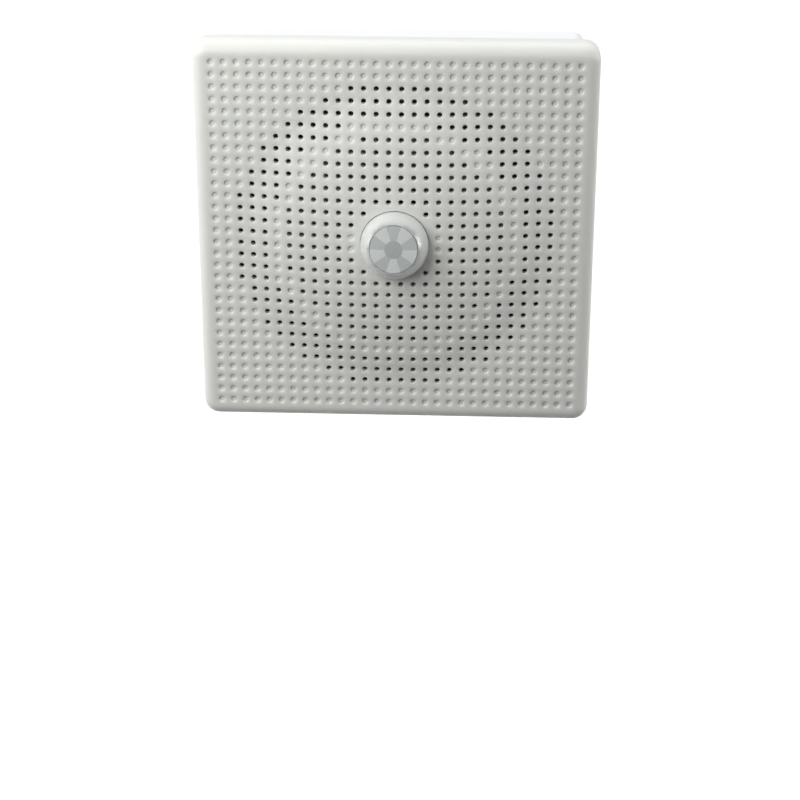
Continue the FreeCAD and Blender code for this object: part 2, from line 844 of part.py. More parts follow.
def speaker_magnet():
    """Front plate, ring magnet and back plate with its pole."""
    front = frame_bottom_y()
    pole = coil_radius - 2 * cone_wall
    gap_wall = coil_radius + cone_wall
    plate_radius = magnet_radius - magnet_plate
    ring_front = front + magnet_plate
    ring_back = ring_front + magnet_depth
    back = ring_back + magnet_plate
    profile = [(gap_wall, front), (plate_radius, front), (plate_radius, ring_front),
               (magnet_radius, ring_front), (magnet_radius, ring_back), (plate_radius, ring_back),
               (plate_radius, back), (0, back), (0, front), (pole, front), (pole, ring_back),
               (gap_wall, ring_back)]
    return turned(profile, Vec(0, 0, face_z))


def speaker_screws():
    """Four screws whose heads overlap the loudspeaker's flange."""
    seat = speaker_screw_seat()
    length = seat - dome_inside_y(speaker_seat_radius) - slide_gap
    screws = [small_screw(x, z, seat, length, speaker_screw_head) for x, z in speaker_bosses()]
    return Part.makeCompound(screws)


# Electronics

def board_posts():
    """Centres of the four posts under the main board."""
    return [(sx * board_post_x, board_mid_z + sz * board_post_z) for sx in (-1, 1) for sz in (-1, 1)]


def jack_mid_y():
    """Depth of the supply socket's centre."""
    return board_front_y - jack_height / 2


def switch_mid_y():
    """Depth of the slide switch's centre."""
    return board_front_y - switch_height / 2


def main_board():
    """Printed board with its four screw holes."""
    half = board_width / 2
    board = block(-half, half, board_front_y, board_back_y, board_mid_z - board_height / 2,
                  board_mid_z + board_height / 2)
    holes = [rod(x, z, screw_shank / 2 + slide_gap, board_front_y, board_back_y) for x, z in board_posts()]
    return board.cut(Part.makeCompound(holes))


def board_screws():
    """Four screws driven from the front through the board."""
    length = board_thickness + board_standoff - pilot_floor - slide_gap
    screws = []
    for x, z in board_posts():
        head = rod(x, z, screw_head / 2, board_front_y - screw_head_height, board_front_y)
        shank = rod(x, z, screw_shank / 2 - screw_clearance, board_front_y, board_front_y + length)
        screws.append(head.fuse(shank))
    return Part.makeCompound(screws)


def on_board(x, z, width, height, rise):
    """Block that stands on the board's front, centred at x, z from the board's centre."""
    return block(x - width / 2, x + width / 2, board_front_y - rise, board_front_y,
                 board_mid_z + z - height / 2, board_mid_z + z + height / 2)


def sound_chip():
    """Wide flat chip that holds the tunes."""
    body = on_board(chip_x, chip_z, chip_width, chip_height, chip_rise)
    edges = [edge for edge in body.Edges if lies_at(edge, board_front_y - chip_rise)]
    return body.makeChamfer(chip_bevel, edges)


def capacitors():
    """Two upright supply capacitors."""
    cans = []
    large = (large_can_x, large_can_radius, large_can_rise)
    small = (small_can_x, small_can_radius, small_can_rise)
    for x, radius, rise in (large, small):
        can = rod(x, board_mid_z + cans_z, radius, board_front_y - rise, board_front_y)
        top = [edge for edge in can.Edges if lies_at(edge, board_front_y - rise)]
        cans.append(can.makeChamfer(can_bevel, top))
    return Part.makeCompound(cans)


def wire_sockets():
    """Two small board sockets for the loudspeaker's and the sensor's wires."""
    sockets = []
    for x, width in ((speaker_plug_x, speaker_plug_width), (sensor_plug_x, sensor_plug_width)):
        body = on_board(x, plug_z, width, plug_height, plug_rise)
        pocket = on_board(x, plug_z, width - 2 * plug_wall, plug_height - 2 * plug_wall, plug_rise)
        pocket.translate(Vec(0, -plug_floor, 0))
        sockets.append(body.cut(pocket))
    return Part.makeCompound(sockets)


def supply_jack():
    """Low-voltage supply socket that opens through the lower wall."""
    low = floor_z + housing_wall + slide_gap
    mid_y = jack_mid_y()
    body = block(jack_x - jack_width / 2, jack_x + jack_width / 2, mid_y - jack_height / 2,
                 mid_y + jack_height / 2, low, low + jack_length)
    mouth = Vec(jack_x, mid_y, floor_z + slide_gap)
    nose = Part.makeCylinder(jack_nose_radius, housing_wall, mouth, AXIS_Z)
    bore = Part.makeCylinder(jack_bore_radius, jack_bore_depth, mouth, AXIS_Z)
    pin_foot = mouth + Vec(0, 0, jack_pin_setback)
    pin = Part.makeCylinder(jack_pin_radius, jack_bore_depth - jack_pin_setback, pin_foot, AXIS_Z)
    return body.fuse(nose).cut(bore).fuse(pin).removeSplitter()


def mode_switch():
    """Body of the slide switch, with the slot that its knob runs in."""
    low = floor_z + housing_wall + slide_gap
    mid_y = switch_mid_y()
    body = block(switch_x - switch_length / 2, switch_x + switch_length / 2, mid_y - switch_height / 2,
                 mid_y + switch_height / 2, low, low + switch_width)
    half = knob_length / 2 + knob_travel + slide_gap
    deep = knob_thickness / 2 + slide_gap
    track = block(switch_x - half, switch_x + half, mid_y - deep, mid_y + deep, low, low + switch_width / 2)
    return body.cut(track)


def switch_knob():
    """Knob of the slide switch, just proud of the lower wall, with grip ridges."""
    top = floor_z + housing_wall + switch_width / 2
    bottom = floor_z - knob_proud
    mid_y = switch_mid_y()
    half = knob_length / 2
    outline = [Vec(-half, 0, top), Vec(half, 0, top), Vec(half, 0, bottom)]
    pitch = knob_length / knob_ridges
    for ridge in range(knob_ridges):
        right = half - ridge * pitch
        outline.append(Vec(right - pitch / 2, 0, bottom + knob_proud / 2))
        outline.append(Vec(right - pitch, 0, bottom))
    knob = Part.Face(Part.makePolygon(outline + outline[:1])).extrude(Vec(0, knob_thickness, 0))
    knob.translate(Vec(switch_x, mid_y - knob_thickness / 2, 0))
    return knob


sub_parts = {
    "wall_bracket": wall_bracket,
    "rear_housing": rear_housing,
    "front_cover": front_cover,
    "case_screws": case_screws,
    "screw_caps": screw_caps,
    "sensor_ball_front": sensor_ball_front,
    "sensor_ball_rear": sensor_ball_rear,
    "fresnel_lens": fresnel_lens,
    "pir_sensor": pir_sensor,
    "pir_board": pir_board,
    "friction_ring": friction_ring,
    "sensor_socket": sensor_socket,
    "socket_screws": socket_screws,
    "retaining_washer": retaining_washer,
    "retaining_clip": retaining_clip,
    "speaker_gasket": speaker_gasket,
    "speaker_frame": speaker_frame,
    "speaker_cone": speaker_cone,
    "dust_cap": dust_cap,
    "speaker_magnet": speaker_magnet,
    "speaker_screws": speaker_screws,
    "main_board": main_board,
    "board_screws": board_screws,
    "sound_chip": sound_chip,
    "capacitors": capacitors,
    "wire_sockets": wire_sockets,
    "supply_jack": supply_jack,
    "mode_switch": mode_switch,
    "switch_knob": switch_knob,
}

os.makedirs("parts", exist_ok=True)
for node, make in sub_parts.items():
    shape = make()
    shape.exportStep("parts/" + node + ".step")
    state = "valid" if shape.isValid() else "NOT VALID"
    print(node, len(shape.Solids), "solid(s)", round(shape.Volume, 1), "mm3", state)
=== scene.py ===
import json
import math
import bmesh
import bpy
from mathutils import Matrix, Vector


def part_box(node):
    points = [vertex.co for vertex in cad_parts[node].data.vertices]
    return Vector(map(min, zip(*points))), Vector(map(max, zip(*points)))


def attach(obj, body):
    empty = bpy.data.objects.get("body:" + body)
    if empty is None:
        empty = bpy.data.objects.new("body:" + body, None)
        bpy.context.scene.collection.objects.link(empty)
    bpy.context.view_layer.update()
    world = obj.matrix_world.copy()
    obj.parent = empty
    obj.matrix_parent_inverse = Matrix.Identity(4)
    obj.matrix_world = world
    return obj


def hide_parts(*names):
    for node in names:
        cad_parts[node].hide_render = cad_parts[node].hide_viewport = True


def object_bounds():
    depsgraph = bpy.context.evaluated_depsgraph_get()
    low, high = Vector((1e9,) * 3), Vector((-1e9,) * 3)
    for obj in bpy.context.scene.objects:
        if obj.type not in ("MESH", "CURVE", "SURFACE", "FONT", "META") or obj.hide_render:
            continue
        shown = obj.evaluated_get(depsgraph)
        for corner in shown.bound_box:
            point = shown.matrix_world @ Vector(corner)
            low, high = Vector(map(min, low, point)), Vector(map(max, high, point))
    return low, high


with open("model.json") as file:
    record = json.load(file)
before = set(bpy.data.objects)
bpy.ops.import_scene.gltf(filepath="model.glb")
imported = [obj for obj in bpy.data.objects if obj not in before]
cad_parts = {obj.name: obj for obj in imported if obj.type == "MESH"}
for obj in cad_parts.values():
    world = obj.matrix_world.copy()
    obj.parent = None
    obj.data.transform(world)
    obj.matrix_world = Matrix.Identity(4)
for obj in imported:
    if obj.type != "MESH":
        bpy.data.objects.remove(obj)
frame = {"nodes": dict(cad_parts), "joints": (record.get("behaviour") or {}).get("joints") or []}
cadLow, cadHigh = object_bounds()
scene = bpy.context.scene
mm = 0.001
print("frame loaded")


# Node maths as plain Python expressions
class Value:
    def __init__(self, nodes, socket):
        self.nodes = nodes
        self.socket = socket

    def __add__(self, other):
        return self.nodes.maths("ADD", self, other)

    def __radd__(self, other):
        return self.nodes.maths("ADD", other, self)

    def __sub__(self, other):
        return self.nodes.maths("SUBTRACT", self, other)

    def __rsub__(self, other):
        return self.nodes.maths("SUBTRACT", other, self)

    def __mul__(self, other):
        return self.nodes.maths("MULTIPLY", self, other)

    def __rmul__(self, other):
        return self.nodes.maths("MULTIPLY", other, self)

    def __truediv__(self, other):
        return self.nodes.maths("DIVIDE", self, other)

    def __rtruediv__(self, other):
        return self.nodes.maths("DIVIDE", other, self)


class NodeTree:
    def __init__(self, tree):
        self.tree = tree

    # any node: its settings first, then what goes into its sockets
    def node(self, kind, settings=None, **inputs):
        made = self.tree.nodes.new(kind)
        for key, value in (settings or {}).items():
            setattr(made, key, value)
        for key, value in inputs.items():
            self.feed(made.inputs[key.replace("_", " ")], value)
        return made

    def feed(self, socket, value):
        if isinstance(value, Value):
            value = value.socket
        if isinstance(value, bpy.types.NodeSocket):
            self.tree.links.new(value, socket)
        else:
            socket.default_value = value

    def maths(self, operation, *terms):
        made = self.node("ShaderNodeMath", {"operation": operation})
        for socket, term in zip(made.inputs, terms):
            self.feed(socket, term)
        return Value(self, made.outputs[0])


# A material's nodes, with the patterns that finishes are made of
class Recipe(NodeTree):
    def __init__(self, name):
        self.material = bpy.data.materials.new(name)
        self.material.use_nodes = True
        super().__init__(self.material.node_tree)
        self.shader = self.tree.nodes["Principled BSDF"]

    def place(self):
        return self.node("ShaderNodeTexCoord").outputs["Object"]

    def axis(self, letter):
        split = self.node("ShaderNodeSeparateXYZ", Vector=self.place())
        return Value(self, split.outputs[letter])

    # noise whose grains are about size across, from 0 to 1
    def noise(self, size, detail=3.0, roughness=0.55):
        made = self.node("ShaderNodeTexNoise", Vector=self.place(), Scale=1 / size,
                         Detail=detail, Roughness=roughness)
        return Value(self, made.outputs["Fac"])

    # from 0 to 1 as the value goes from low to high
    def between(self, value, low, high):
        made = self.node("ShaderNodeMapRange", {"clamp": True}, Value=value,
                         From_Min=low, From_Max=high)
        return Value(self, made.outputs["Result"])

    # mix of two colours; 6, 7 and 2 are the node's colour sockets
    def blend(self, mask, first, second):
        made = self.node("ShaderNodeMix", {"data_type": "RGBA"})
        self.feed(made.inputs["Factor"], mask)
        self.feed(made.inputs[6], first)
        self.feed(made.inputs[7], second)
        return made.outputs[2]

    def set(self, socketName, value):
        self.feed(self.shader.inputs[socketName], value)

    # relief of a height in metres over a softened edge
    def relief(self, height, edge=0.0):
        bump = self.node("ShaderNodeBump", Height=height, Strength=1.0, Distance=1.0)
        if edge:
            soft = self.node("ShaderNodeBevel", {"samples": 4}, Radius=edge)
            self.tree.links.new(soft.outputs["Normal"], bump.inputs["Normal"])
        self.set("Normal", bump.outputs["Normal"])


def colour(red, green, blue):
    return (red, green, blue, 1.0)


# the same colour, lighter or darker
def toned(base, share):
    return colour(*[min(1.0, part * share) for part in base])


moulding = {
    "cloudSize": 34 * mm,
    "clouds": (0.3, 0.7),
    "smudgeSize": 11 * mm,
    "smudges": (0.52, 0.78),
    "smudgeRough": 0.07,
    "grainSize": 0.35 * mm,
    "grainDepth": 0.006 * mm,
    "grainRough": 0.12,
    "waveSize": 7 * mm,
    "waveDepth": 2.5,  # times the grain's
    "wornEdges": (0.53, 0.6),
    "wear": 0.03,
    "wornTone": 1.06,
    "refraction": 1.49,
}


# Moulded plastic: sparked grain, faint flow clouds, handling smudges and worn edges
def mouldedPlastic(name, base, shade, roughness, edge=0.0,
                   grain=moulding["grainSize"], depth=moulding["grainDepth"]):
    recipe = Recipe(name)
    clouds = recipe.between(recipe.noise(moulding["cloudSize"], detail=2.0), *moulding["clouds"])
    smudges = recipe.between(recipe.noise(moulding["smudgeSize"], detail=5.0), *moulding["smudges"])
    specks = recipe.noise(grain, detail=2.0)
    tinted = recipe.blend(clouds, colour(*base), colour(*shade))
    point = Value(recipe, recipe.node("ShaderNodeNewGeometry").outputs["Pointiness"])
    worn = recipe.between(point, *moulding["wornEdges"]) * moulding["wear"]
    recipe.set("Base Color", recipe.blend(worn, tinted, toned(base, moulding["wornTone"])))
    uneven = smudges * moulding["smudgeRough"] + (specks - 0.5) * moulding["grainRough"]
    recipe.set("Roughness", roughness + uneven - worn)
    recipe.set("IOR", moulding["refraction"])
    waves = recipe.noise(moulding["waveSize"], detail=2.0)
    recipe.relief(specks * depth + waves * (depth * moulding["waveDepth"]), edge=edge)
    return recipe.material


plating = {
    "stainSize": 5 * mm,
    "stains": (0.45, 0.75),
    "stainShare": 0.35,
    "stainTone": 0.7,
    "stainRough": 0.12,
    "lineRough": 0.15,
    "lineDepth": 0.004 * mm,
}


# Metal with fine drawn or rolled lines and a few stains
def platedMetal(name, base, roughness, metallic, lines):
    recipe = Recipe(name)
    stains = recipe.between(recipe.noise(plating["stainSize"], detail=4.0), *plating["stains"])
    stained = toned(base, plating["stainTone"])
    recipe.set("Base Color", recipe.blend(stains * plating["stainShare"], colour(*base), stained))
    recipe.set("Metallic", metallic)
    fine = recipe.noise(lines, detail=2.0)
    uneven = stains * plating["stainRough"] + (fine - 0.5) * plating["lineRough"]
    recipe.set("Roughness", roughness + uneven)
    recipe.relief(fine * plating["lineDepth"])
    return recipe.material


# what is the same all over a finish, set on the shader's own sockets
def setAllOver(material, **values):
    shader = material.node_tree.nodes["Principled BSDF"]
    for key, value in values.items():
        shader.inputs[key.replace("_", " ")].default_value = value


# lets a share of the light through, over a few millimetres
def translucent(material, share, reach):
    setAllOver(material, Subsurface_Weight=share, Subsurface_Radius=Vector(reach) * mm,
               Subsurface_Scale=1.0)


# base colour, colour of the clouds, roughness
plastics = {
    "cover": ((0.738, 0.744, 0.708), (0.722, 0.73, 0.70), 0.46),
    "housing": ((0.785, 0.80, 0.82), (0.77, 0.787, 0.81), 0.42),
    "bracket": ((0.765, 0.74, 0.685), (0.755, 0.73, 0.67), 0.4),
    "ball": ((0.66, 0.68, 0.66), (0.65, 0.67, 0.65), 0.24),
    "nylon": ((0.74, 0.74, 0.68), (0.72, 0.72, 0.66), 0.5),
    "black": ((0.022, 0.022, 0.024), (0.03, 0.03, 0.032), 0.45),
}
softEdges = {"housing": 0.35 * mm, "bracket": 0.3 * mm, "black": 0.15 * mm}
lightThrough = {  # share, and reach in mm
    "cover": (0.6, (1.7, 1.55, 1.4)),
    "ball": (0.6, (4.5, 4.5, 4.2)),
}
gloss = {"grain": 0.8 * mm, "depth": 0.0015 * mm, "coat": 1.0, "coatRoughness": 0.14}

coverPlastic = mouldedPlastic("cover plastic", *plastics["cover"])
housingPlastic = mouldedPlastic("housing plastic", *plastics["housing"], softEdges["housing"])
bracketPlastic = mouldedPlastic("bracket plastic", *plastics["bracket"], softEdges["bracket"])
ballPlastic = mouldedPlastic("ball plastic", *plastics["ball"],
                             grain=gloss["grain"], depth=gloss["depth"])
nylonPlastic = mouldedPlastic("nylon", *plastics["nylon"])
blackPlastic = mouldedPlastic("black plastic", *plastics["black"], softEdges["black"])
translucent(coverPlastic, *lightThrough["cover"])
translucent(ballPlastic, *lightThrough["ball"])
setAllOver(ballPlastic, Coat_Weight=gloss["coat"], Coat_Roughness=gloss["coatRoughness"])

metals = {  # base colour, roughness, metallic, size of the lines
    "zinc": ((0.62, 0.61, 0.58), 0.32, 1.0, 0.15 * mm),
    "can": ((0.72, 0.72, 0.73), 0.24, 1.0, 0.1 * mm),
    "ferrite": ((0.055, 0.055, 0.06), 0.6, 0.2, 0.3 * mm),
}
zincSteel = platedMetal("zinc plated steel", *metals["zinc"])
canMetal = platedMetal("drawn can", *metals["can"])
ferrite = platedMetal("ferrite", *metals["ferrite"])

coneSheet = {
    "fibreSize": 0.5 * mm,
    "fibreDepth": 0.12 * mm,
    "patchSize": 9 * mm,
    "low": (0.56, 0.51, 0.49),
    "high": (0.66, 0.61, 0.585),
    "roughness": 0.75,
    "patchRough": 0.2,
}


# Pressed paper with fibres
def conePaper():
    recipe = Recipe("cone paper")
    fibres = recipe.noise(coneSheet["fibreSize"], detail=6.0, roughness=0.7)
    patches = recipe.noise(coneSheet["patchSize"])
    low, high = colour(*coneSheet["low"]), colour(*coneSheet["high"])
    recipe.set("Base Color", recipe.blend(fibres, low, high))
    recipe.set("Roughness", coneSheet["roughness"] + patches * coneSheet["patchRough"])
    recipe.relief(fibres * coneSheet["fibreDepth"])
    return recipe.material


gasketSheet = {
    "cellSize": 0.7 * mm,
    "cellDepth": 0.1 * mm,
    "low": (0.17, 0.16, 0.155),
    "high": (0.26, 0.25, 0.24),
    "roughness": 0.85,
    "cellRough": 0.1,
}


# Closed-cell foam
def foam():
    recipe = Recipe("foam")
    cells = recipe.node("ShaderNodeTexVoronoi", Vector=recipe.place(),
                        Scale=1 / gasketSheet["cellSize"])
    gap = Value(recipe, cells.outputs["Distance"])
    low, high = colour(*gasketSheet["low"]), colour(*gasketSheet["high"])
    recipe.set("Base Color", recipe.blend(gap, low, high))
    recipe.set("Roughness", gasketSheet["roughness"] + gap * gasketSheet["cellRough"])
    recipe.relief(gap * gasketSheet["cellDepth"])
    return recipe.material


boardFace = {
    "driftSize": 6 * mm,
    "drift": 5 * mm,
    "slant": 0.5,
    "laneWidth": 2.2 * mm,
    "trackEdge": (0.28, 0.33),
    "trackHeight": 0.03 * mm,
    "mask": (0.012, 0.10, 0.045),
    "track": (0.03, 0.19, 0.08),
    "roughness": 0.25,
    "patchSize": 3 * mm,
    "patchRough": 0.15,
    "coat": 0.4,
}


# Solder mask with tracks under it, on slanted lanes over X and Z
def solderMask():
    recipe = Recipe("solder mask")
    x, z = recipe.axis("X"), recipe.axis("Z")
    drift = recipe.noise(boardFace["driftSize"], detail=1.0) * boardFace["drift"]
    across = (x + z * boardFace["slant"] + drift) / boardFace["laneWidth"]
    track = recipe.between(recipe.maths("PINGPONG", across, 0.5), *boardFace["trackEdge"])
    mask, raised = colour(*boardFace["mask"]), colour(*boardFace["track"])
    recipe.set("Base Color", recipe.blend(track, mask, raised))
    patches = recipe.noise(boardFace["patchSize"])
    recipe.set("Roughness", boardFace["roughness"] + patches * boardFace["patchRough"])
    recipe.set("Coat Weight", boardFace["coat"])
    recipe.relief(track * boardFace["trackHeight"])
    return recipe.material


paper = conePaper()
gasketFoam = foam()
boardMask = solderMask()
print("materials made")

shaping = {
    "weldWithin": 0.002 * mm,  # corners of the CAD's faces that are one point
    "smoothAngle": 40,
    "cadAngle": 28,  # for the shapes that come from the CAD
    "flatWeight": 100,  # of the larger faces in a shared normal
    "roundMiddle": 0.3,  # middle point of a small round, as a share of it
    "tiny": 1e-6,
}


# An object at the origin with this data, in the scene
def placed(data, name):
    item = bpy.data.objects.new(name, data)
    scene.collection.objects.link(item)
    return item


# A piece moves with its body, has its finish and stands for a CAD node, which is hidden
def newPiece(name, mesh, body, material, node):
    piece = placed(mesh, name)
    if not mesh.materials:
        mesh.materials.append(material)
    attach(piece, body)
    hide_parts(node)


def smoothByAngle(mesh, degrees):
    mesh.shade_smooth()
    mesh.set_sharp_from_angle(angle=math.radians(degrees))


def meshFrom(bm, name, smoothAngle=shaping["smoothAngle"]):
    bmesh.ops.recalc_face_normals(bm, faces=bm.faces)
    mesh = bpy.data.meshes.new(name)
    bm.to_mesh(mesh)
    bm.free()
    smoothByAngle(mesh, smoothAngle)
    return mesh


# The plain mesh that an object's modifiers make of it; the object goes
def meshOf(host):
    bpy.context.view_layer.update()
    depsgraph = bpy.context.evaluated_depsgraph_get()
    mesh = bpy.data.meshes.new_from_object(host.evaluated_get(depsgraph))
    host.modifiers.clear()
    bpy.data.objects.remove(host)
    return mesh


# Normals weighted by area, so that flat faces beside small rounds stay flat in the light
def flatFacesKept(mesh):
    host = placed(mesh, "normals host")
    weighted = host.modifiers.new("weighted normals", "WEIGHTED_NORMAL")
    weighted.keep_sharp = True
    weighted.weight = shaping["flatWeight"]
    return meshOf(host)


# A merged, smooth-shaded copy of a CAD node stands for it
def dressed(name, node, body, slot, material):
    mesh = frame["nodes"][node].data.copy()
    mesh.materials.clear()
    for layer in ("custom_normal", "sharp_face"):
        if layer in mesh.attributes:
            mesh.attributes.remove(mesh.attributes[layer])
    bm = bmesh.new()
    bm.from_mesh(mesh)
    bmesh.ops.remove_doubles(bm, verts=bm.verts, dist=shaping["weldWithin"])
    bm.to_mesh(mesh)
    bm.free()
    smoothByAngle(mesh, shaping["cadAngle"])
    newPiece(name, flatFacesKept(mesh), body, material, node)


# Faces between two loops of as many points
def bridge(bm, first, second):
    for i in range(len(first)):
        j = (i + 1) % len(first)
        bm.faces.new((first[i], first[j], second[j], second[i]))


# Faces from a loop to one point
def fan(bm, loop, spot):
    tip = bm.verts.new(spot)
    for i in range(len(loop)):
        bm.faces.new((loop[i], loop[(i + 1) % len(loop)], tip))


# A closed section of (radius, depth) points in mm, turned about the Y axis
def lathe(bm, section, steps, matrix):
    rings = []
    for radius, depth in section:
        ring = []
        for step in range(steps):
            turn = 2 * math.pi * step / steps
            spot = Vector((radius * math.cos(turn), depth, radius * math.sin(turn))) * mm
            ring.append(bm.verts.new(matrix @ spot))
        rings.append(ring)
    for first, second in zip(rings, rings[1:] + rings[:1]):
        bridge(bm, first, second)


# A Geometry Nodes tree with named inputs beside its geometry
def openTree(name, kinds):
    tree = bpy.data.node_groups.new(name, "GeometryNodeTree")
    for label, kind in {"Geometry": "Geometry", **kinds}.items():
        tree.interface.new_socket(label, in_out="INPUT", socket_type="NodeSocket" + kind)
    tree.interface.new_socket("Geometry", in_out="OUTPUT", socket_type="NodeSocketGeometry")
    nodes = NodeTree(tree)
    return nodes, nodes.node("NodeGroupInput").outputs


# Every tree ends in a material and the output
def closeTree(nodes, geometry, material):
    clothed = nodes.node("GeometryNodeSetMaterial", Geometry=geometry, Material=material)
    nodes.node("NodeGroupOutput", Geometry=clothed.outputs[0])
    return nodes.tree


# Runs a tree on an object with its inputs set by identifier, and returns a plain mesh
def runTree(tree, host, values):
    modifier = host.modifiers.new("nodes", "NODES")
    modifier.node_group = tree
    for item in tree.interface.items_tree:
        if item.item_type == "SOCKET" and item.in_out == "INPUT" and item.name in values:
            modifier[item.identifier] = values[item.name]
    return meshOf(host)


# Front cover, in mm: tiles with a dimple or a hole, laid on the square grid and raised into the dome
coverLow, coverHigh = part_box("front_cover")
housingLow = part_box("rear_housing")[0]
cover = {
    "width": (coverHigh.x - coverLow.x) / mm,
    "centreZ": (coverHigh.z + coverLow.z) / 2 / mm,
    "depth": 12.0,
    "lipDepth": 2.2,  # how far the skirt reaches over the housing
    "faceWall": 2.4,
    "skirtWall": 1.9,
    "skirtLip": 0.35,
    "corner": 6.0,
    "cornerSteps": 9,
    "edgeRound": 4.5,
    "edgeSteps": 8,
    "edgeGap": 0.25,  # plain strip round the tiles
    "domeRadius": 57.0,
    "domeRise": 5.9,
    "domeBlend": 0.3,  # softness of the dome's foot
    "rows": 30,
    "pitch": 4.75,
    "pierced": 13.1,  # this and the next two in pitches from the middle
    "seatBand": (9.15, 9.95),
    "plainMiddle": 3.2,
    "tileSteps": 4,  # points along each side of a tile
    "holeRadius": 1.03,
    "holeSoft": 0.16,
    "dimpleDepth": 0.8,
    "dimpleBowl": ((1.45, 0.0), (1.247, 0.12), (1.07, 0.45), (0.99, 0.85), (0.89, 1.0)),
    "bowlBottom": 1.02,  # like the bowl's second figures, a share of its depth
    "opening": 13.18,
    "openingRise": 0.06,
    "openingLip": ((0.12, 0.03), (0.03, 0.12), (0.0, 0.3)),  # out and back
    "tileWeld": 0.01,
    "weld": 0.005,
}
cover["backY"] = housingLow.y / mm + cover["lipDepth"]
cover["faceY"] = cover["backY"] - cover["depth"]
cover["domeSphere"] = (cover["domeRadius"] ** 2 + cover["domeRise"] ** 2) / (2 * cover["domeRise"])
# places that stay blind inside the pierced circle, in pitches from the middle
blindBosses = [(-3.5, 9.5), (9.5, 3.5), (3.5, -9.5), (-9.5, -3.5),
               (-3.5, 0.5), (-3.5, -0.5), (3.5, 0.5), (3.5, -0.5)]


# how far the dome stands out at a radius, in mm, with a soft foot
def domeLift(radius):
    sphere = cover["domeSphere"]
    height = math.sqrt(sphere ** 2 - min(radius, sphere) ** 2) - sphere + cover["domeRise"]
    return (height + math.sqrt(height ** 2 + cover["domeBlend"] ** 2)) / 2


# column and row count pitches from the middle
def isPierced(column, row):
    radius = math.hypot(column, row)
    low, high = cover["seatBand"]
    if radius >= cover["pierced"] or low <= radius <= high:
        return False
    return (column, row) not in blindBosses


# One tile: its square and rings of the recess, then a hole's wall and back, or a bowl and a flat back
def coverTile(name, isHole):
    bm = bmesh.new()
    half, steps = cover["pitch"] / 2, cover["tileSteps"]
    square = []
    for side in range(4):
        turn = Matrix.Rotation(math.pi / 2 * side, 3, "Y")
        for step in range(steps):
            square.append(turn @ Vector((half - cover["pitch"] * step / steps, 0, -half)))
    hole, soft, deep = cover["holeRadius"], cover["holeSoft"], cover["dimpleDepth"]
    middle = soft * shaping["roundMiddle"]
    if isHole:
        rings = [(hole + soft, 0.0), (hole + middle, middle), (hole, soft), (hole, deep),
                 (hole, cover["faceWall"])]
    else:
        rings = [(radius, deep * share) for radius, share in cover["dimpleBowl"]]
    loops = [[bm.verts.new(v * mm) for v in square]]
    for radius, depth in rings:
        flat = [v.normalized() * radius for v in square]
        loops.append([bm.verts.new(Vector((v.x, depth, v.z)) * mm) for v in flat])
    back = [bm.verts.new(Vector((v.x, cover["faceWall"], v.z)) * mm) for v in square]
    if isHole:
        loops.append(back)
    for first, second in zip(loops, loops[1:]):
        bridge(bm, first, second)
    if not isHole:
        fan(bm, loops[-1], (0, deep * cover["bowlBottom"] * mm, 0))
        bm.faces.new(list(reversed(back)))
    mesh = bpy.data.meshes.new(name)
    bm.to_mesh(mesh)
    bm.free()
    return placed(mesh, name)


# Lays the tiles, pushes them clear of the ball's opening and lifts them on to the dome
def grilleTree():
    kinds = {"Hole Tile": "Object", "Dimple Tile": "Object", "Material": "Material"}
    for label in ("Opening", "Half Face", "Face Y", "Centre Z",
                  "Dome Sphere", "Dome Rise", "Dome Blend"):
        kinds[label] = "Float"
    nodes, given = openTree("grilleTiles", kinds)
    values = {label: Value(nodes, given[label]) for label in kinds if kinds[label] == "Float"}
    mark = nodes.node("GeometryNodeInputNamedAttribute", {"data_type": "BOOLEAN"}, Name="pierced")
    pierced = mark.outputs["Attribute"]
    blind = nodes.node("FunctionNodeBooleanMath", {"operation": "NOT"}, Boolean=pierced).outputs[0]
    together = nodes.node("GeometryNodeJoinGeometry")
    for label, choice in (("Hole Tile", pierced), ("Dimple Tile", blind)):
        info = nodes.node("GeometryNodeObjectInfo", Object=given[label])
        laid = nodes.node("GeometryNodeInstanceOnPoints", Points=given["Geometry"],
                          Selection=choice, Instance=info.outputs["Geometry"])
        nodes.feed(together.inputs[0], laid.outputs["Instances"])
    real = nodes.node("GeometryNodeRealizeInstances", Geometry=together.outputs[0])
    merged = nodes.node("GeometryNodeMergeByDistance", Geometry=real.outputs[0],
                        Distance=cover["tileWeld"] * mm)
    spot = nodes.node("ShaderNodeSeparateXYZ",
                      Vector=nodes.node("GeometryNodeInputPosition").outputs[0])
    x, y, z = [Value(nodes, spot.outputs[letter]) for letter in "XYZ"]
    radius = nodes.maths("MAXIMUM", nodes.maths("SQRT", x * x + z * z), mm)
    push = nodes.maths("MAXIMUM", values["Opening"] / radius, 1.0)
    half = values["Half Face"]
    newX = nodes.maths("MAXIMUM", nodes.maths("MINIMUM", x * push, half), half * -1.0)
    newZ = nodes.maths("MAXIMUM", nodes.maths("MINIMUM", z * push, half), half * -1.0)
    sphere, blend = values["Dome Sphere"], values["Dome Blend"]
    inside = nodes.maths("MAXIMUM", sphere * sphere - (newX * newX + newZ * newZ), 0.0)
    height = nodes.maths("SQRT", inside) - sphere + values["Dome Rise"]
    lift = (height + nodes.maths("SQRT", height * height + blend * blend)) * 0.5
    place = nodes.node("ShaderNodeCombineXYZ", X=newX, Y=y + values["Face Y"] - lift,
                       Z=newZ + values["Centre Z"])
    moved = nodes.node("GeometryNodeSetPosition", Geometry=merged.outputs[0],
                       Position=place.outputs[0])
    return closeTree(nodes, moved.outputs[0], given["Material"])


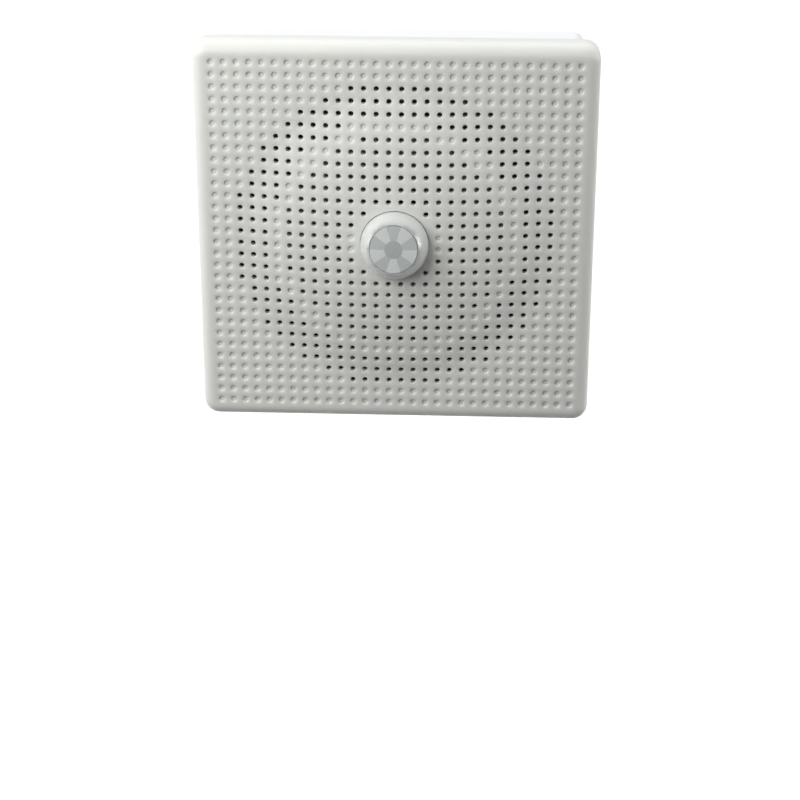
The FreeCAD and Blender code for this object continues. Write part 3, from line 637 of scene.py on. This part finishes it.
# Boundary edges of a mesh as closed loops of vertices
def openLoops(bm):
    edges = {e for e in bm.edges if len(e.link_faces) == 1}
    loops = []
    while edges:
        first = edges.pop()
        loop = [first.verts[0], first.verts[1]]
        while True:
            onward = [e for e in loop[-1].link_edges if e in edges]
            if not onward:
                break
            edges.discard(onward[0])
            loop.append(onward[0].other_vert(loop[-1]))
        loops.append(loop[:-1] if loop[-1] == loop[0] else loop)
    return loops


# the same start and direction for every loop round the face's middle
def byAngle(loop):
    centreZ = cover["centreZ"] * mm
    return sorted(loop, key=lambda v: math.atan2(v.co.z - centreZ, v.co.x))


# Rounded lip and wall of the ball's opening
def closeOpening(bm, front, back):
    centreZ = cover["centreZ"] * mm
    last = front
    for out, depth in (*cover["openingLip"], (0.0, cover["faceWall"])):
        radius = cover["opening"] + out
        y = (cover["faceY"] - domeLift(radius) + depth) * mm
        ring = []
        for v in front:
            flat = Vector((v.co.x, 0, v.co.z - centreZ)).normalized() * radius * mm
            ring.append(bm.verts.new((flat.x, y, flat.z + centreZ + cover["openingRise"] * mm)))
        bridge(bm, last, ring)
        last = ring
    bridge(bm, last, back)


# (out, depth) round the front edge, down the skirt and up its inside, from the corner's centre
def edgeProfile():
    rounding, lip = cover["edgeRound"], cover["skirtLip"]
    outer, inner = cover["corner"], cover["corner"] - cover["skirtWall"]
    face, back = cover["faceY"], cover["backY"]
    wall, soft = face + cover["faceWall"], lip * shaping["roundMiddle"]
    profile = []
    for step in range(cover["edgeSteps"] + 1):
        turn = math.pi / 2 * step / cover["edgeSteps"]
        profile.append((outer - rounding + rounding * math.sin(turn),
                        face + rounding * (1 - math.cos(turn))))
    profile += [(outer, back - lip), (outer - soft, back - soft), (outer - lip, back),
                (inner + lip, back), (inner, back - lip), (inner, wall + lip), (inner - lip, wall)]
    return profile


# Round the face: which point of the tiles' edge, the centre it goes out from, and its way out
def edgePath(front):
    middle = (cover["width"] / 2 - cover["corner"]) * mm
    path = []
    for index, v in enumerate(front):
        x, z = v.co.x, v.co.z - cover["centreZ"] * mm
        sideX, sideZ = math.copysign(1, x), math.copysign(1, z)
        if abs(abs(x) - abs(z)) < shaping["tiny"]:
            base = math.atan2(sideZ, sideX) - math.pi / 4
            for step in range(cover["cornerSteps"]):
                turn = base + math.pi / 2 * (step + 0.5) / cover["cornerSteps"]
                centre = (sideX * middle, sideZ * middle)
                path.append((index, centre, (math.cos(turn), math.sin(turn))))
        elif abs(x) > abs(z):
            path.append((index, (sideX * middle, max(-middle, min(middle, z))), (sideX, 0)))
        else:
            path.append((index, (max(-middle, min(middle, x)), sideZ * middle), (0, sideZ)))
    return path


# Rounded front edge, skirt and lip round the tiles
def closeEdge(bm, front, back):
    path = edgePath(front)
    rings = []
    for out, depth in edgeProfile():
        ring = []
        for index, centre, way in path:
            x, z = [centre[axis] + way[axis] * out * mm for axis in range(2)]
            ring.append(bm.verts.new((x, depth * mm, z + cover["centreZ"] * mm)))
        rings.append(ring)
    for first, second in zip(rings, rings[1:]):
        bridge(bm, first, second)
    for loop, ring in ((front, rings[0]), (back, rings[-1])):
        for i in range(len(path)):
            j = (i + 1) % len(path)
            a, b = loop[path[i][0]], loop[path[j][0]]
            corners = (a, ring[j], ring[i]) if a == b else (a, b, ring[j], ring[i])
            bm.faces.new(corners)


# One point for each tile, marked where it is pierced
def gridPoints():
    places, marks = [], []
    first = -(cover["rows"] - 1) / 2
    for row in range(cover["rows"]):
        for column in range(cover["rows"]):
            place = (first + column, first + row)
            if math.hypot(*place) >= cover["plainMiddle"]:
                places.append((place[0] * cover["pitch"] * mm, 0, place[1] * cover["pitch"] * mm))
                marks.append(isPierced(*place))
    mesh = bpy.data.meshes.new("grille points")
    mesh.from_pydata(places, [], [])
    mesh.attributes.new("pierced", "BOOLEAN", "POINT").data.foreach_set("value", marks)
    return placed(mesh, "grille host")


def frontCover():
    holeTile, dimpleTile = coverTile("hole tile", True), coverTile("dimple tile", False)
    values = {
        "Hole Tile": holeTile,
        "Dimple Tile": dimpleTile,
        "Material": coverPlastic,
        "Opening": (cover["opening"] + cover["edgeGap"]) * mm,
        "Half Face": (cover["width"] / 2 - cover["edgeRound"] - cover["edgeGap"]) * mm,
        "Face Y": cover["faceY"] * mm,
        "Centre Z": cover["centreZ"] * mm,
        "Dome Sphere": cover["domeSphere"] * mm,
        "Dome Rise": cover["domeRise"] * mm,
        "Dome Blend": cover["domeBlend"] * mm,
    }
    grille = runTree(grilleTree(), gridPoints(), values)
    bm = bmesh.new()
    bm.from_mesh(grille)
    bmesh.ops.remove_doubles(bm, verts=bm.verts, dist=cover["weld"] * mm)
    # the opening's two loops have fewer points than the edge's two, and fronts come before backs
    loops = [byAngle(loop) for loop in openLoops(bm)]
    loops.sort(key=lambda loop: (len(loop), sum(v.co.y for v in loop) / len(loop)))
    closeOpening(bm, loops[0], loops[1])
    closeEdge(bm, loops[2], loops[3])
    mesh = meshFrom(bm, "front cover")
    for tile in (holeTile, dimpleTile):
        bpy.data.objects.remove(tile)
    bpy.data.meshes.remove(grille)
    newPiece("frontCoverShell", mesh, "chime", coverPlastic, "front_cover")


frontCover()
print("front cover made")


# Sensor ball, in mm: two halves turned about a tilted axis, and a window with a rolled rim
ball = {
    "radius": 13.1,
    "tilt": 9.0,
    "window": 9.1,
    "windowEase": 0.05,
    "rimRound": 0.45,
    "rimCurve": ((0.05, 0.45), (0.35, 0.1)),  # out and back, as shares of the rim's round
    "rimStart": 0.9,
    "lensDepth": 0.9,
    "lensGap": 0.02,
    "shell": 3.2,
    "split": 2.0,
    "groove": 0.12,
    "grooveTurn": 0.5,  # degrees
    "neck": 3.0,
    "neckFoot": 0.6,
    "neckFillet": ((0.2, 0.15), (0.0, 0.5)),  # out and back
    "neckBore": 1.5,
    "neckEnd": 19.2,
    "neckRound": 0.3,
    "well": 7.0,
    "rearShell": 4.0,
    "frontSteps": 28,
    "rearSteps": 16,
    "steps": 96,
}
joints = {joint["name"]: joint for joint in frame["joints"]}
ballCentre = Vector(joints["sensor_pan"]["pos_m"])
ballTurn = Matrix.Translation(ballCentre) @ Matrix.Rotation(math.radians(-ball["tilt"]), 4, "X")
windowEdge = -math.sqrt(ball["radius"] ** 2 - ball["window"] ** 2)
lensSeat = windowEdge + ball["lensDepth"]
splitTurn = math.acos(ball["split"] / ball["radius"])  # from the rear pole


# The ball's outline as (radius, depth) between two angles from its rear pole
def ballArc(start, end, steps):
    turns = [start + (end - start) * step / steps for step in range(steps + 1)]
    return [(ball["radius"] * math.sin(turn), ball["radius"] * math.cos(turn)) for turn in turns]


def ballFront():
    radius, rim, window = ball["radius"], ball["rimRound"], ball["window"]
    split, groove = ball["split"], ball["groove"]
    section = ballArc(math.pi - math.asin((window + rim) / radius), splitTurn, ball["frontSteps"])
    section[-1] = (section[-1][0] - groove, split)
    section.insert(-1, (section[-2][0], split - groove))
    inner, bore = radius - ball["shell"], window - ball["windowEase"]
    seat = lensSeat + ball["lensGap"]
    front = -math.sqrt(radius ** 2 - (window + rim) ** 2)
    section += [(inner, split), (inner, seat), (bore, seat), (bore, front + rim * ball["rimStart"])]
    section += [(window + rim * out, front + rim * back) for out, back in ball["rimCurve"]]
    bm = bmesh.new()
    lathe(bm, section, ball["steps"], ballTurn)
    return meshFrom(bm, "ball front")


def ballRear():
    radius, neck, split = ball["radius"], ball["neck"], ball["split"]
    gap = math.radians(ball["grooveTurn"])
    neckTurn = math.asin((neck + ball["neckFoot"]) / radius)
    section = [(radius * math.sin(splitTurn) - ball["groove"], split)]
    section += ballArc(splitTurn - gap, neckTurn - gap, ball["rearSteps"])
    foot, end, soft = section[-1][1], ball["neckEnd"], ball["neckRound"]
    section += [(neck + out, foot + back) for out, back in ball["neckFillet"]]
    bore, inner = ball["neckBore"], radius - ball["rearShell"]
    section += [(neck, end - soft), (neck - soft, end), (bore, end), (bore, ball["well"]),
                (inner, ball["well"]), (inner, split)]
    bm = bmesh.new()
    lathe(bm, section, ball["steps"], ballTurn)
    return meshFrom(bm, "ball rear")


newPiece("ballFrontShell", ballFront(), "sensor", ballPlastic, "sensor_ball_front")
newPiece("ballRearShell", ballRear(), "sensor", ballPlastic, "sensor_ball_rear")

# Lens behind the window, in mm: ten segments round a disc, every second one tilted a little
lens = {
    "segments": 10,
    "segmentSteps": 8,
    "segmentTilt": 0.1,  # how far a tilted segment's rim stands out
    "rim": 9.0,
    "disc": 3.45,
    "rise": 1.1,
    "middleRise": 0.93,  # as a share of the rise
    "edgeRise": 0.76,
    "tipRise": 0.12,
    "thickness": 0.9,
    "flange": 9.85,
    "creaseAngle": 12,
    # painted light and painted shade: tones of the lit segments, the shaded segments and the shaded
    # middle disc, each two tones that drift at random
    "light": ((0.63, 0.66, 0.65), (0.57, 0.60, 0.59)),
    "paintedShadeSegments": ((0.49, 0.515, 0.505), (0.44, 0.465, 0.455)),
    "paintedShadeDisc": ((0.42, 0.44, 0.435), (0.38, 0.40, 0.395)),
    "driftSize": 4 * mm,
    "roughness": 0.22,
    "driftRough": 0.12,
    "toneEdge": 0.02,
    "discEdge": 0.08,
    "grooves": 9,
    "grooveDepth": 0.05 * mm,
    "rayWidth": 0.02,
    "rayDepth": 0.04 * mm,
    "through": (0.15, (0.1, 0.1, 0.1)),  # share of the light, and reach in mm
}


# Milky lens: segments toned by turns round its middle as painted light and painted shade, the middle
# disc in painted shade, with fine ring grooves and rays
def lensMaterial():
    recipe = Recipe("lens plastic")
    middle = recipe.node("ShaderNodeVectorMath", {"operation": "SUBTRACT"})
    recipe.feed(middle.inputs[0], recipe.place())
    recipe.feed(middle.inputs[1], tuple(ballCentre))
    turned = recipe.node("ShaderNodeVectorRotate", {"rotation_type": "X_AXIS"},
                         Vector=middle.outputs[0], Angle=math.radians(ball["tilt"]))
    split = recipe.node("ShaderNodeSeparateXYZ", Vector=turned.outputs[0])
    x, z = Value(recipe, split.outputs["X"]), Value(recipe, split.outputs["Z"])
    radius = recipe.maths("SQRT", x * x + z * z) / mm
    angle = recipe.maths("ARCTAN2", x, z) / (2 * math.pi) * lens["segments"] + 0.5
    wave = recipe.maths("MODULO", angle + 2.0 * lens["segments"], 2.0)
    # every second segment gets painted light, the others painted shade
    paintedLightMask = recipe.between(wave, 1 - lens["toneEdge"], 1 + lens["toneEdge"])
    outside = recipe.between(radius, lens["disc"] - lens["discEdge"], lens["disc"] + lens["discEdge"])
    drift = recipe.noise(lens["driftSize"], detail=2.0)
    light, paintedShadeSegments, disc = [recipe.blend(drift, colour(*lens[key][0]), colour(*lens[key][1]))
                         for key in ("light", "paintedShadeSegments", "paintedShadeDisc")]
    segments = recipe.blend(paintedLightMask, paintedShadeSegments, light)
    # painted shade on the middle disc, painted light and painted shade on the segments round it
    recipe.set("Base Color", recipe.blend(outside, disc, segments))
    recipe.set("Roughness", lens["roughness"] + drift * lens["driftRough"])
    rings = recipe.maths("PINGPONG", radius * (lens["grooves"] / lens["rim"]), 0.5)
    rays = recipe.between(recipe.maths("PINGPONG", angle, 0.5), 0.0, lens["rayWidth"])
    recipe.relief(rings * lens["grooveDepth"] + rays * lens["rayDepth"])
    translucent(recipe.material, *lens["through"])
    return recipe.material


def lensMesh():
    bm = bmesh.new()
    count, fine = lens["segments"], lens["segmentSteps"]
    disc, rim, flange, thick = lens["disc"], lens["rim"], lens["flange"], lens["thickness"]
    rise, edge = lens["rise"], lens["edgeRise"]
    rings = [(disc, -rise), ((disc + rim) / 2, -rise * lens["middleRise"]), (rim, -edge),
             (rim, 0.0), (flange, 0.0), (flange, thick), (rim - thick, thick), (disc, thick - rise)]
    loops = []
    for radius, depth in rings:
        loop = []
        for step in range(count * fine):
            turn = 2 * math.pi * (step / fine - 0.5) / count
            tilt = lens["segmentTilt"] if depth == -edge and (step // fine) % 2 else 0.0
            y = lensSeat + depth - tilt
            spot = Vector((radius * math.sin(turn), y, radius * math.cos(turn))) * mm
            loop.append(bm.verts.new(ballTurn @ spot))
        loops.append(loop)
    for first, second in zip(loops, loops[1:]):
        bridge(bm, first, second)
    for loop, depth in ((loops[0], -rise - lens["tipRise"]), (loops[-1], thick - rise)):
        fan(bm, loop, ballTurn @ (Vector((0, lensSeat + depth, 0)) * mm))
    return meshFrom(bm, "lens", lens["creaseAngle"])


newPiece("facetedLens", lensMesh(), "sensor", lensMaterial(), "fresnel_lens")
print("ball and lens made")


# Pieces whose CAD shape is right: name, CAD node, body, slot and finish
cadPieces = (
    ("housingShell", "rear_housing", "chime", "housing", housingPlastic),
    ("bracketRing", "wall_bracket", "bracket", "bracket", bracketPlastic),
    ("capSet", "screw_caps", "chime", "housing", housingPlastic),
    ("swivelRing", "friction_ring", "swivel_ring", "nylon", nylonPlastic),
    ("socketCup", "sensor_socket", "chime", "black_plastic", blackPlastic),
    ("dishedWasher", "retaining_washer", "sensor", "nylon", nylonPlastic),
    ("pushClip", "retaining_clip", "sensor", "steel", zincSteel),
    ("sensorCan", "pir_sensor", "sensor", "can", canMetal),
    ("sensorBoard", "pir_board", "sensor", "board", boardMask),
    ("seatGasket", "speaker_gasket", "chime", "foam", gasketFoam),
    ("basket", "speaker_frame", "chime", "steel", zincSteel),
    ("paperCone", "speaker_cone", "chime", "paper", paper),
    ("dustDome", "dust_cap", "chime", "paper", paper),
    ("magnetStack", "speaker_magnet", "chime", "magnet", ferrite),
    ("mainBoardSheet", "main_board", "chime", "board", boardMask),
    ("tuneChip", "sound_chip", "chime", "black_plastic", blackPlastic),
    ("supplyCans", "capacitors", "chime", "can", canMetal),
    ("wireHeaders", "wire_sockets", "chime", "nylon", nylonPlastic),
    ("supplySocket", "supply_jack", "chime", "black_plastic", blackPlastic),
    ("slideSwitch", "mode_switch", "chime", "steel", zincSteel),
    ("slideKnob", "switch_knob", "knob", "black_plastic", blackPlastic),
)
for piece in cadPieces:
    dressed(*piece)
print("CAD pieces dressed")


# Boxes round the separate solids of a CAD node
def solidBoxes(node):
    bm = bmesh.new()
    bm.from_mesh(frame["nodes"][node].data)
    bmesh.ops.remove_doubles(bm, verts=bm.verts, dist=shaping["weldWithin"])
    left = set(bm.verts)
    boxes = []
    while left:
        group, waiting = [], [left.pop()]
        while waiting:
            vert = waiting.pop()
            group.append(vert.co.copy())
            for edge in vert.link_edges:
                other = edge.other_vert(vert)
                if other in left:
                    left.discard(other)
                    waiting.append(other)
        boxes.append([Vector([pick(co[axis] for co in group) for axis in range(3)])
                      for pick in (min, max)])
    bm.free()
    return sorted(boxes, key=lambda box: tuple(box[0]))


# Puts one piece on every point
def repeatTree():
    nodes, given = openTree("repeatPiece", {"Piece": "Object", "Material": "Material"})
    info = nodes.node("GeometryNodeObjectInfo", Object=given["Piece"])
    laid = nodes.node("GeometryNodeInstanceOnPoints", Points=given["Geometry"],
                      Instance=info.outputs["Geometry"])
    real = nodes.node("GeometryNodeRealizeInstances", Geometry=laid.outputs["Instances"])
    return closeTree(nodes, real.outputs[0], given["Material"])


# Cross-head screws, in mm
screw = {
    "steps": 32,
    "headHeight": 1.5,
    "headRound": 0.5,
    "headRings": 9,
    "crossWidth": 0.27,  # this and the next as shares of the head's radius
    "crossReach": 0.62,
    "crossDepth": 0.85,
    "crossSoft": 0.12,
    "pitch": 0.9,
    "rowsPerTurn": 6,
    "root": 0.78,  # as a share of the shank's radius
    "sharpness": 3.2,  # how quickly a thread's crest falls away
    "point": 1.6,
    "pointStart": 0.25,  # as a share of the shank's radius
    "pointTip": 0.05,
}


# Rings of a cut thread that runs to a point at -Y
def threadRings(length, shankRadius, turns):
    rows = round(length / screw["pitch"] * screw["rowsPerTurn"])
    start = screw["pointStart"]
    rings = []
    for row in range(rows + 1):
        y = -length * (1 - row / rows)
        taper = min(1.0, start + (1 - start) * (y + length) / screw["point"])
        ring = []
        for turn in turns:
            phase = (y / screw["pitch"] + turn / (2 * math.pi)) % 1.0
            crest = max(0.0, 1 - abs(phase - 0.5) * screw["sharpness"])
            radius = shankRadius * taper * (screw["root"] + (1 - screw["root"]) * crest)
            ring.append((radius * math.cos(turn), y, radius * math.sin(turn)))
        rings.append(ring)
    return rings


# Rings of a pan head, its top sunk where the cross recess is
def headRings(headRadius, turns):
    soft, height = screw["headRound"], screw["headHeight"]
    middle = soft * shaping["roundMiddle"]
    rings = []
    for radius, y in ((headRadius, 0.0), (headRadius, height - soft),
                      (headRadius - middle, height - middle)):
        rings.append([(radius * math.cos(turn), y, radius * math.sin(turn)) for turn in turns])
    for index in range(screw["headRings"]):
        radius = (headRadius - soft) * (1 - index / screw["headRings"])
        ring = []
        for turn in turns:
            x, z = radius * math.cos(turn), radius * math.sin(turn)
            beside = screw["crossWidth"] * headRadius / 2 - min(abs(x), abs(z))
            within = screw["crossReach"] * headRadius - radius
            sunk = 1.0
            for inside in (beside, within):
                sunk *= max(0.0, min(1.0, inside / screw["crossSoft"] + 0.5))
            ring.append((x, height - screw["crossDepth"] * sunk, z))
        rings.append(ring)
    return rings


# Its seat is at y = 0 and its head points to +Y
def screwMesh(name, length, headRadius, shankRadius):
    bm = bmesh.new()
    turns = [2 * math.pi * step / screw["steps"] for step in range(screw["steps"])]
    rings = threadRings(length, shankRadius, turns) + headRings(headRadius, turns)
    loops = [[bm.verts.new(Vector(spot) * mm) for spot in ring] for ring in rings]
    for first, second in zip(loops, loops[1:]):
        bridge(bm, first, second)
    fan(bm, loops[0], Vector((0, -length - screw["pointTip"], 0)) * mm)
    fan(bm, loops[-1], Vector((0, screw["headHeight"] - screw["crossDepth"], 0)) * mm)
    return meshFrom(bm, name)


# One screw on each solid of a CAD node; headSide is +1 where the heads look to +Y
def screwSet(name, node, shankRadius, headSide):
    boxes = solidBoxes(node)
    low, high = boxes[0]
    headHeight = screw["headHeight"] * mm
    length = (high.y - low.y - headHeight) / mm - screw["pointTip"]
    mesh = screwMesh(name, length, (high.x - low.x) / 2 / mm, shankRadius)
    if headSide < 0:
        mesh.transform(Matrix.Rotation(math.pi, 4, "X"))
    master = placed(mesh, name + " master")
    seats = []
    for low, high in boxes:
        seat = high.y - headHeight if headSide > 0 else low.y + headHeight
        seats.append(((low.x + high.x) / 2, seat, (low.z + high.z) / 2))
    points = bpy.data.meshes.new(name + " seats")
    points.from_pydata(seats, [], [])
    values = {"Piece": master, "Material": zincSteel}
    made = runTree(pieceTree, placed(points, name + " host"), values)
    bpy.data.objects.remove(master)
    smoothByAngle(made, shaping["smoothAngle"])
    newPiece(name, made, "chime", zincSteel, node)


pieceTree = repeatTree()
# name, CAD node, shank's radius and the side that the heads look to
screwSets = (
    ("longScrews", "case_screws", 1.23, 1),
    ("socketScrewPair", "socket_screws", 1.08, 1),
    ("clampScrews", "speaker_screws", 1.08, 1),
    ("boardScrewSet", "board_screws", 1.08, -1),
)
for kind in screwSets:
    screwSet(*kind)
print("screws made")


# Studio, in metres: pale floor below and behind, and soft light, most of it from the upper left
studio = {
    "floorDrop": 0.55,
    "floorHalf": 6.0,
    "floorFront": -0.02,
    "floorShade": (0.93, 0.93, 0.93),
    "floorDarker": 0.99,
    "floorPatch": 0.4,
    "floorRoughness": 0.8,
    "floorUneven": 0.1,
    "keyPlace": (-0.28, -0.42, 0.30),
    "keySize": 0.4,
    "keyPower": 2.15,
    "sunPower": 1.0,
    "sunAngle": 50.0,  # angles and turns in degrees
    "sunTurn": (0.0, 0.0, 0.0),
    "sideAngle": 35.0,
    "rightPower": 1.5,
    "rightTurn": (0.0, 84.0, 6.0),
    "leftPower": 1.15,
    "leftTurn": (0.0, -84.0, -4.0),
    "floorLightPlace": (0.0, 1.7, 0.9),
    "floorLightSize": (3.0, 2.4),
    "floorLightPower": 29.0,
    "skyAbove": 0.32,
    "skyBelow": 0.07,
    "skyBlend": 0.3,
    "backdrop": 0.82,
}


def studioFloor():
    bm = bmesh.new()
    half, front = studio["floorHalf"], studio["floorFront"]
    low = cadLow.z - studio["floorDrop"]
    outline = ((-half, front), (half, front), (half, half), (-half, half))
    bm.faces.new([bm.verts.new((x, y, low)) for x, y in outline])
    mesh = bpy.data.meshes.new("studio floor")
    bm.to_mesh(mesh)
    bm.free()
    recipe = Recipe("floor paper")
    tone = recipe.noise(studio["floorPatch"], detail=2.0)
    pale = studio["floorShade"]
    recipe.set("Base Color", recipe.blend(tone, colour(*pale), toned(pale, studio["floorDarker"])))
    recipe.set("Roughness", studio["floorRoughness"] + tone * studio["floorUneven"])
    mesh.materials.append(recipe.material)
    placed(mesh, "studioFloor")


# A light with its settings; it shines straight down until it is turned
def newLight(name, kind, power, **settings):
    data = bpy.data.lights.new(name, kind)
    data.energy = power
    for key, value in settings.items():
        setattr(data, key, value)
    return placed(data, name)


# Aimed at the middle of the face
def keyLight():
    light = newLight("key light", "AREA", studio["keyPower"], shape="DISK", size=studio["keySize"])
    light.location = studio["keyPlace"]
    aim = faceMiddle - Vector(studio["keyPlace"])
    light.rotation_euler = aim.to_track_quat("-Z", "Y").to_euler()


# Light from a wide patch of sky
def broadLight(name, power, angle, turn):
    light = newLight(name, "SUN", power, angle=math.radians(angle))
    light.rotation_euler = [math.radians(part) for part in turn]


# Keeps the floor behind the chime white
def floorLight():
    wide, deep = studio["floorLightSize"]
    light = newLight("floor light", "AREA", studio["floorLightPower"],
                     shape="RECTANGLE", size=wide, size_y=deep)
    light.location = studio["floorLightPlace"]


# White all round, dimmer from below; the camera itself sees a pale backdrop
def studioSky():
    world = bpy.data.worlds.new("studio sky")
    world.use_nodes = True
    nodes = NodeTree(world.node_tree)
    place = nodes.node("ShaderNodeTexCoord").outputs["Generated"]
    height = nodes.node("ShaderNodeSeparateXYZ", Vector=place).outputs["Z"]
    ramp = nodes.node("ShaderNodeMapRange", Value=height, From_Min=-studio["skyBlend"],
                      From_Max=studio["skyBlend"], To_Min=studio["skyBelow"],
                      To_Max=studio["skyAbove"])
    seen = nodes.node("ShaderNodeLightPath").outputs["Is Camera Ray"]
    strength = nodes.node("ShaderNodeMix", Factor=seen, A=ramp.outputs["Result"],
                          B=studio["backdrop"])
    back = nodes.tree.nodes["Background"]
    nodes.feed(back.inputs["Color"], colour(1.0, 1.0, 1.0))
    nodes.feed(back.inputs["Strength"], strength.outputs["Result"])
    scene.world = world


faceMiddle = Vector((0, cover["faceY"], cover["centreZ"])) * mm
studioFloor()
keyLight()
broadLight("overhead light", studio["sunPower"], studio["sunAngle"], studio["sunTurn"])
broadLight("right-hand light", studio["rightPower"], studio["sideAngle"], studio["rightTurn"])
broadLight("left-hand light", studio["leftPower"], studio["sideAngle"], studio["leftTurn"])
floorLight()
studioSky()
scene.view_settings.view_transform = "Standard"

# Camera fitted to the grid of dimples in the photograph: mm from the middle of the face, degrees
camera = {
    "fromFace": (33.2344, -788.9131, 296.7218),
    "turn": (65.2083, -0.1083, 2.3197),
    "focalPixels": 2193.65,
    "framePixels": 800,
    "sensor": 36.0,
}
cameraData = bpy.data.cameras.new("photo camera")
cameraData.sensor_width = camera["sensor"]
cameraData.lens = camera["focalPixels"] * camera["sensor"] / camera["framePixels"]
cameraData.dof.use_dof = False
cameraObject = placed(cameraData, "photo camera")
cameraObject.location = faceMiddle + Vector(camera["fromFace"]) * mm
cameraObject.rotation_euler = [math.radians(part) for part in camera["turn"]]
scene.camera = cameraObject
print("studio and camera set")
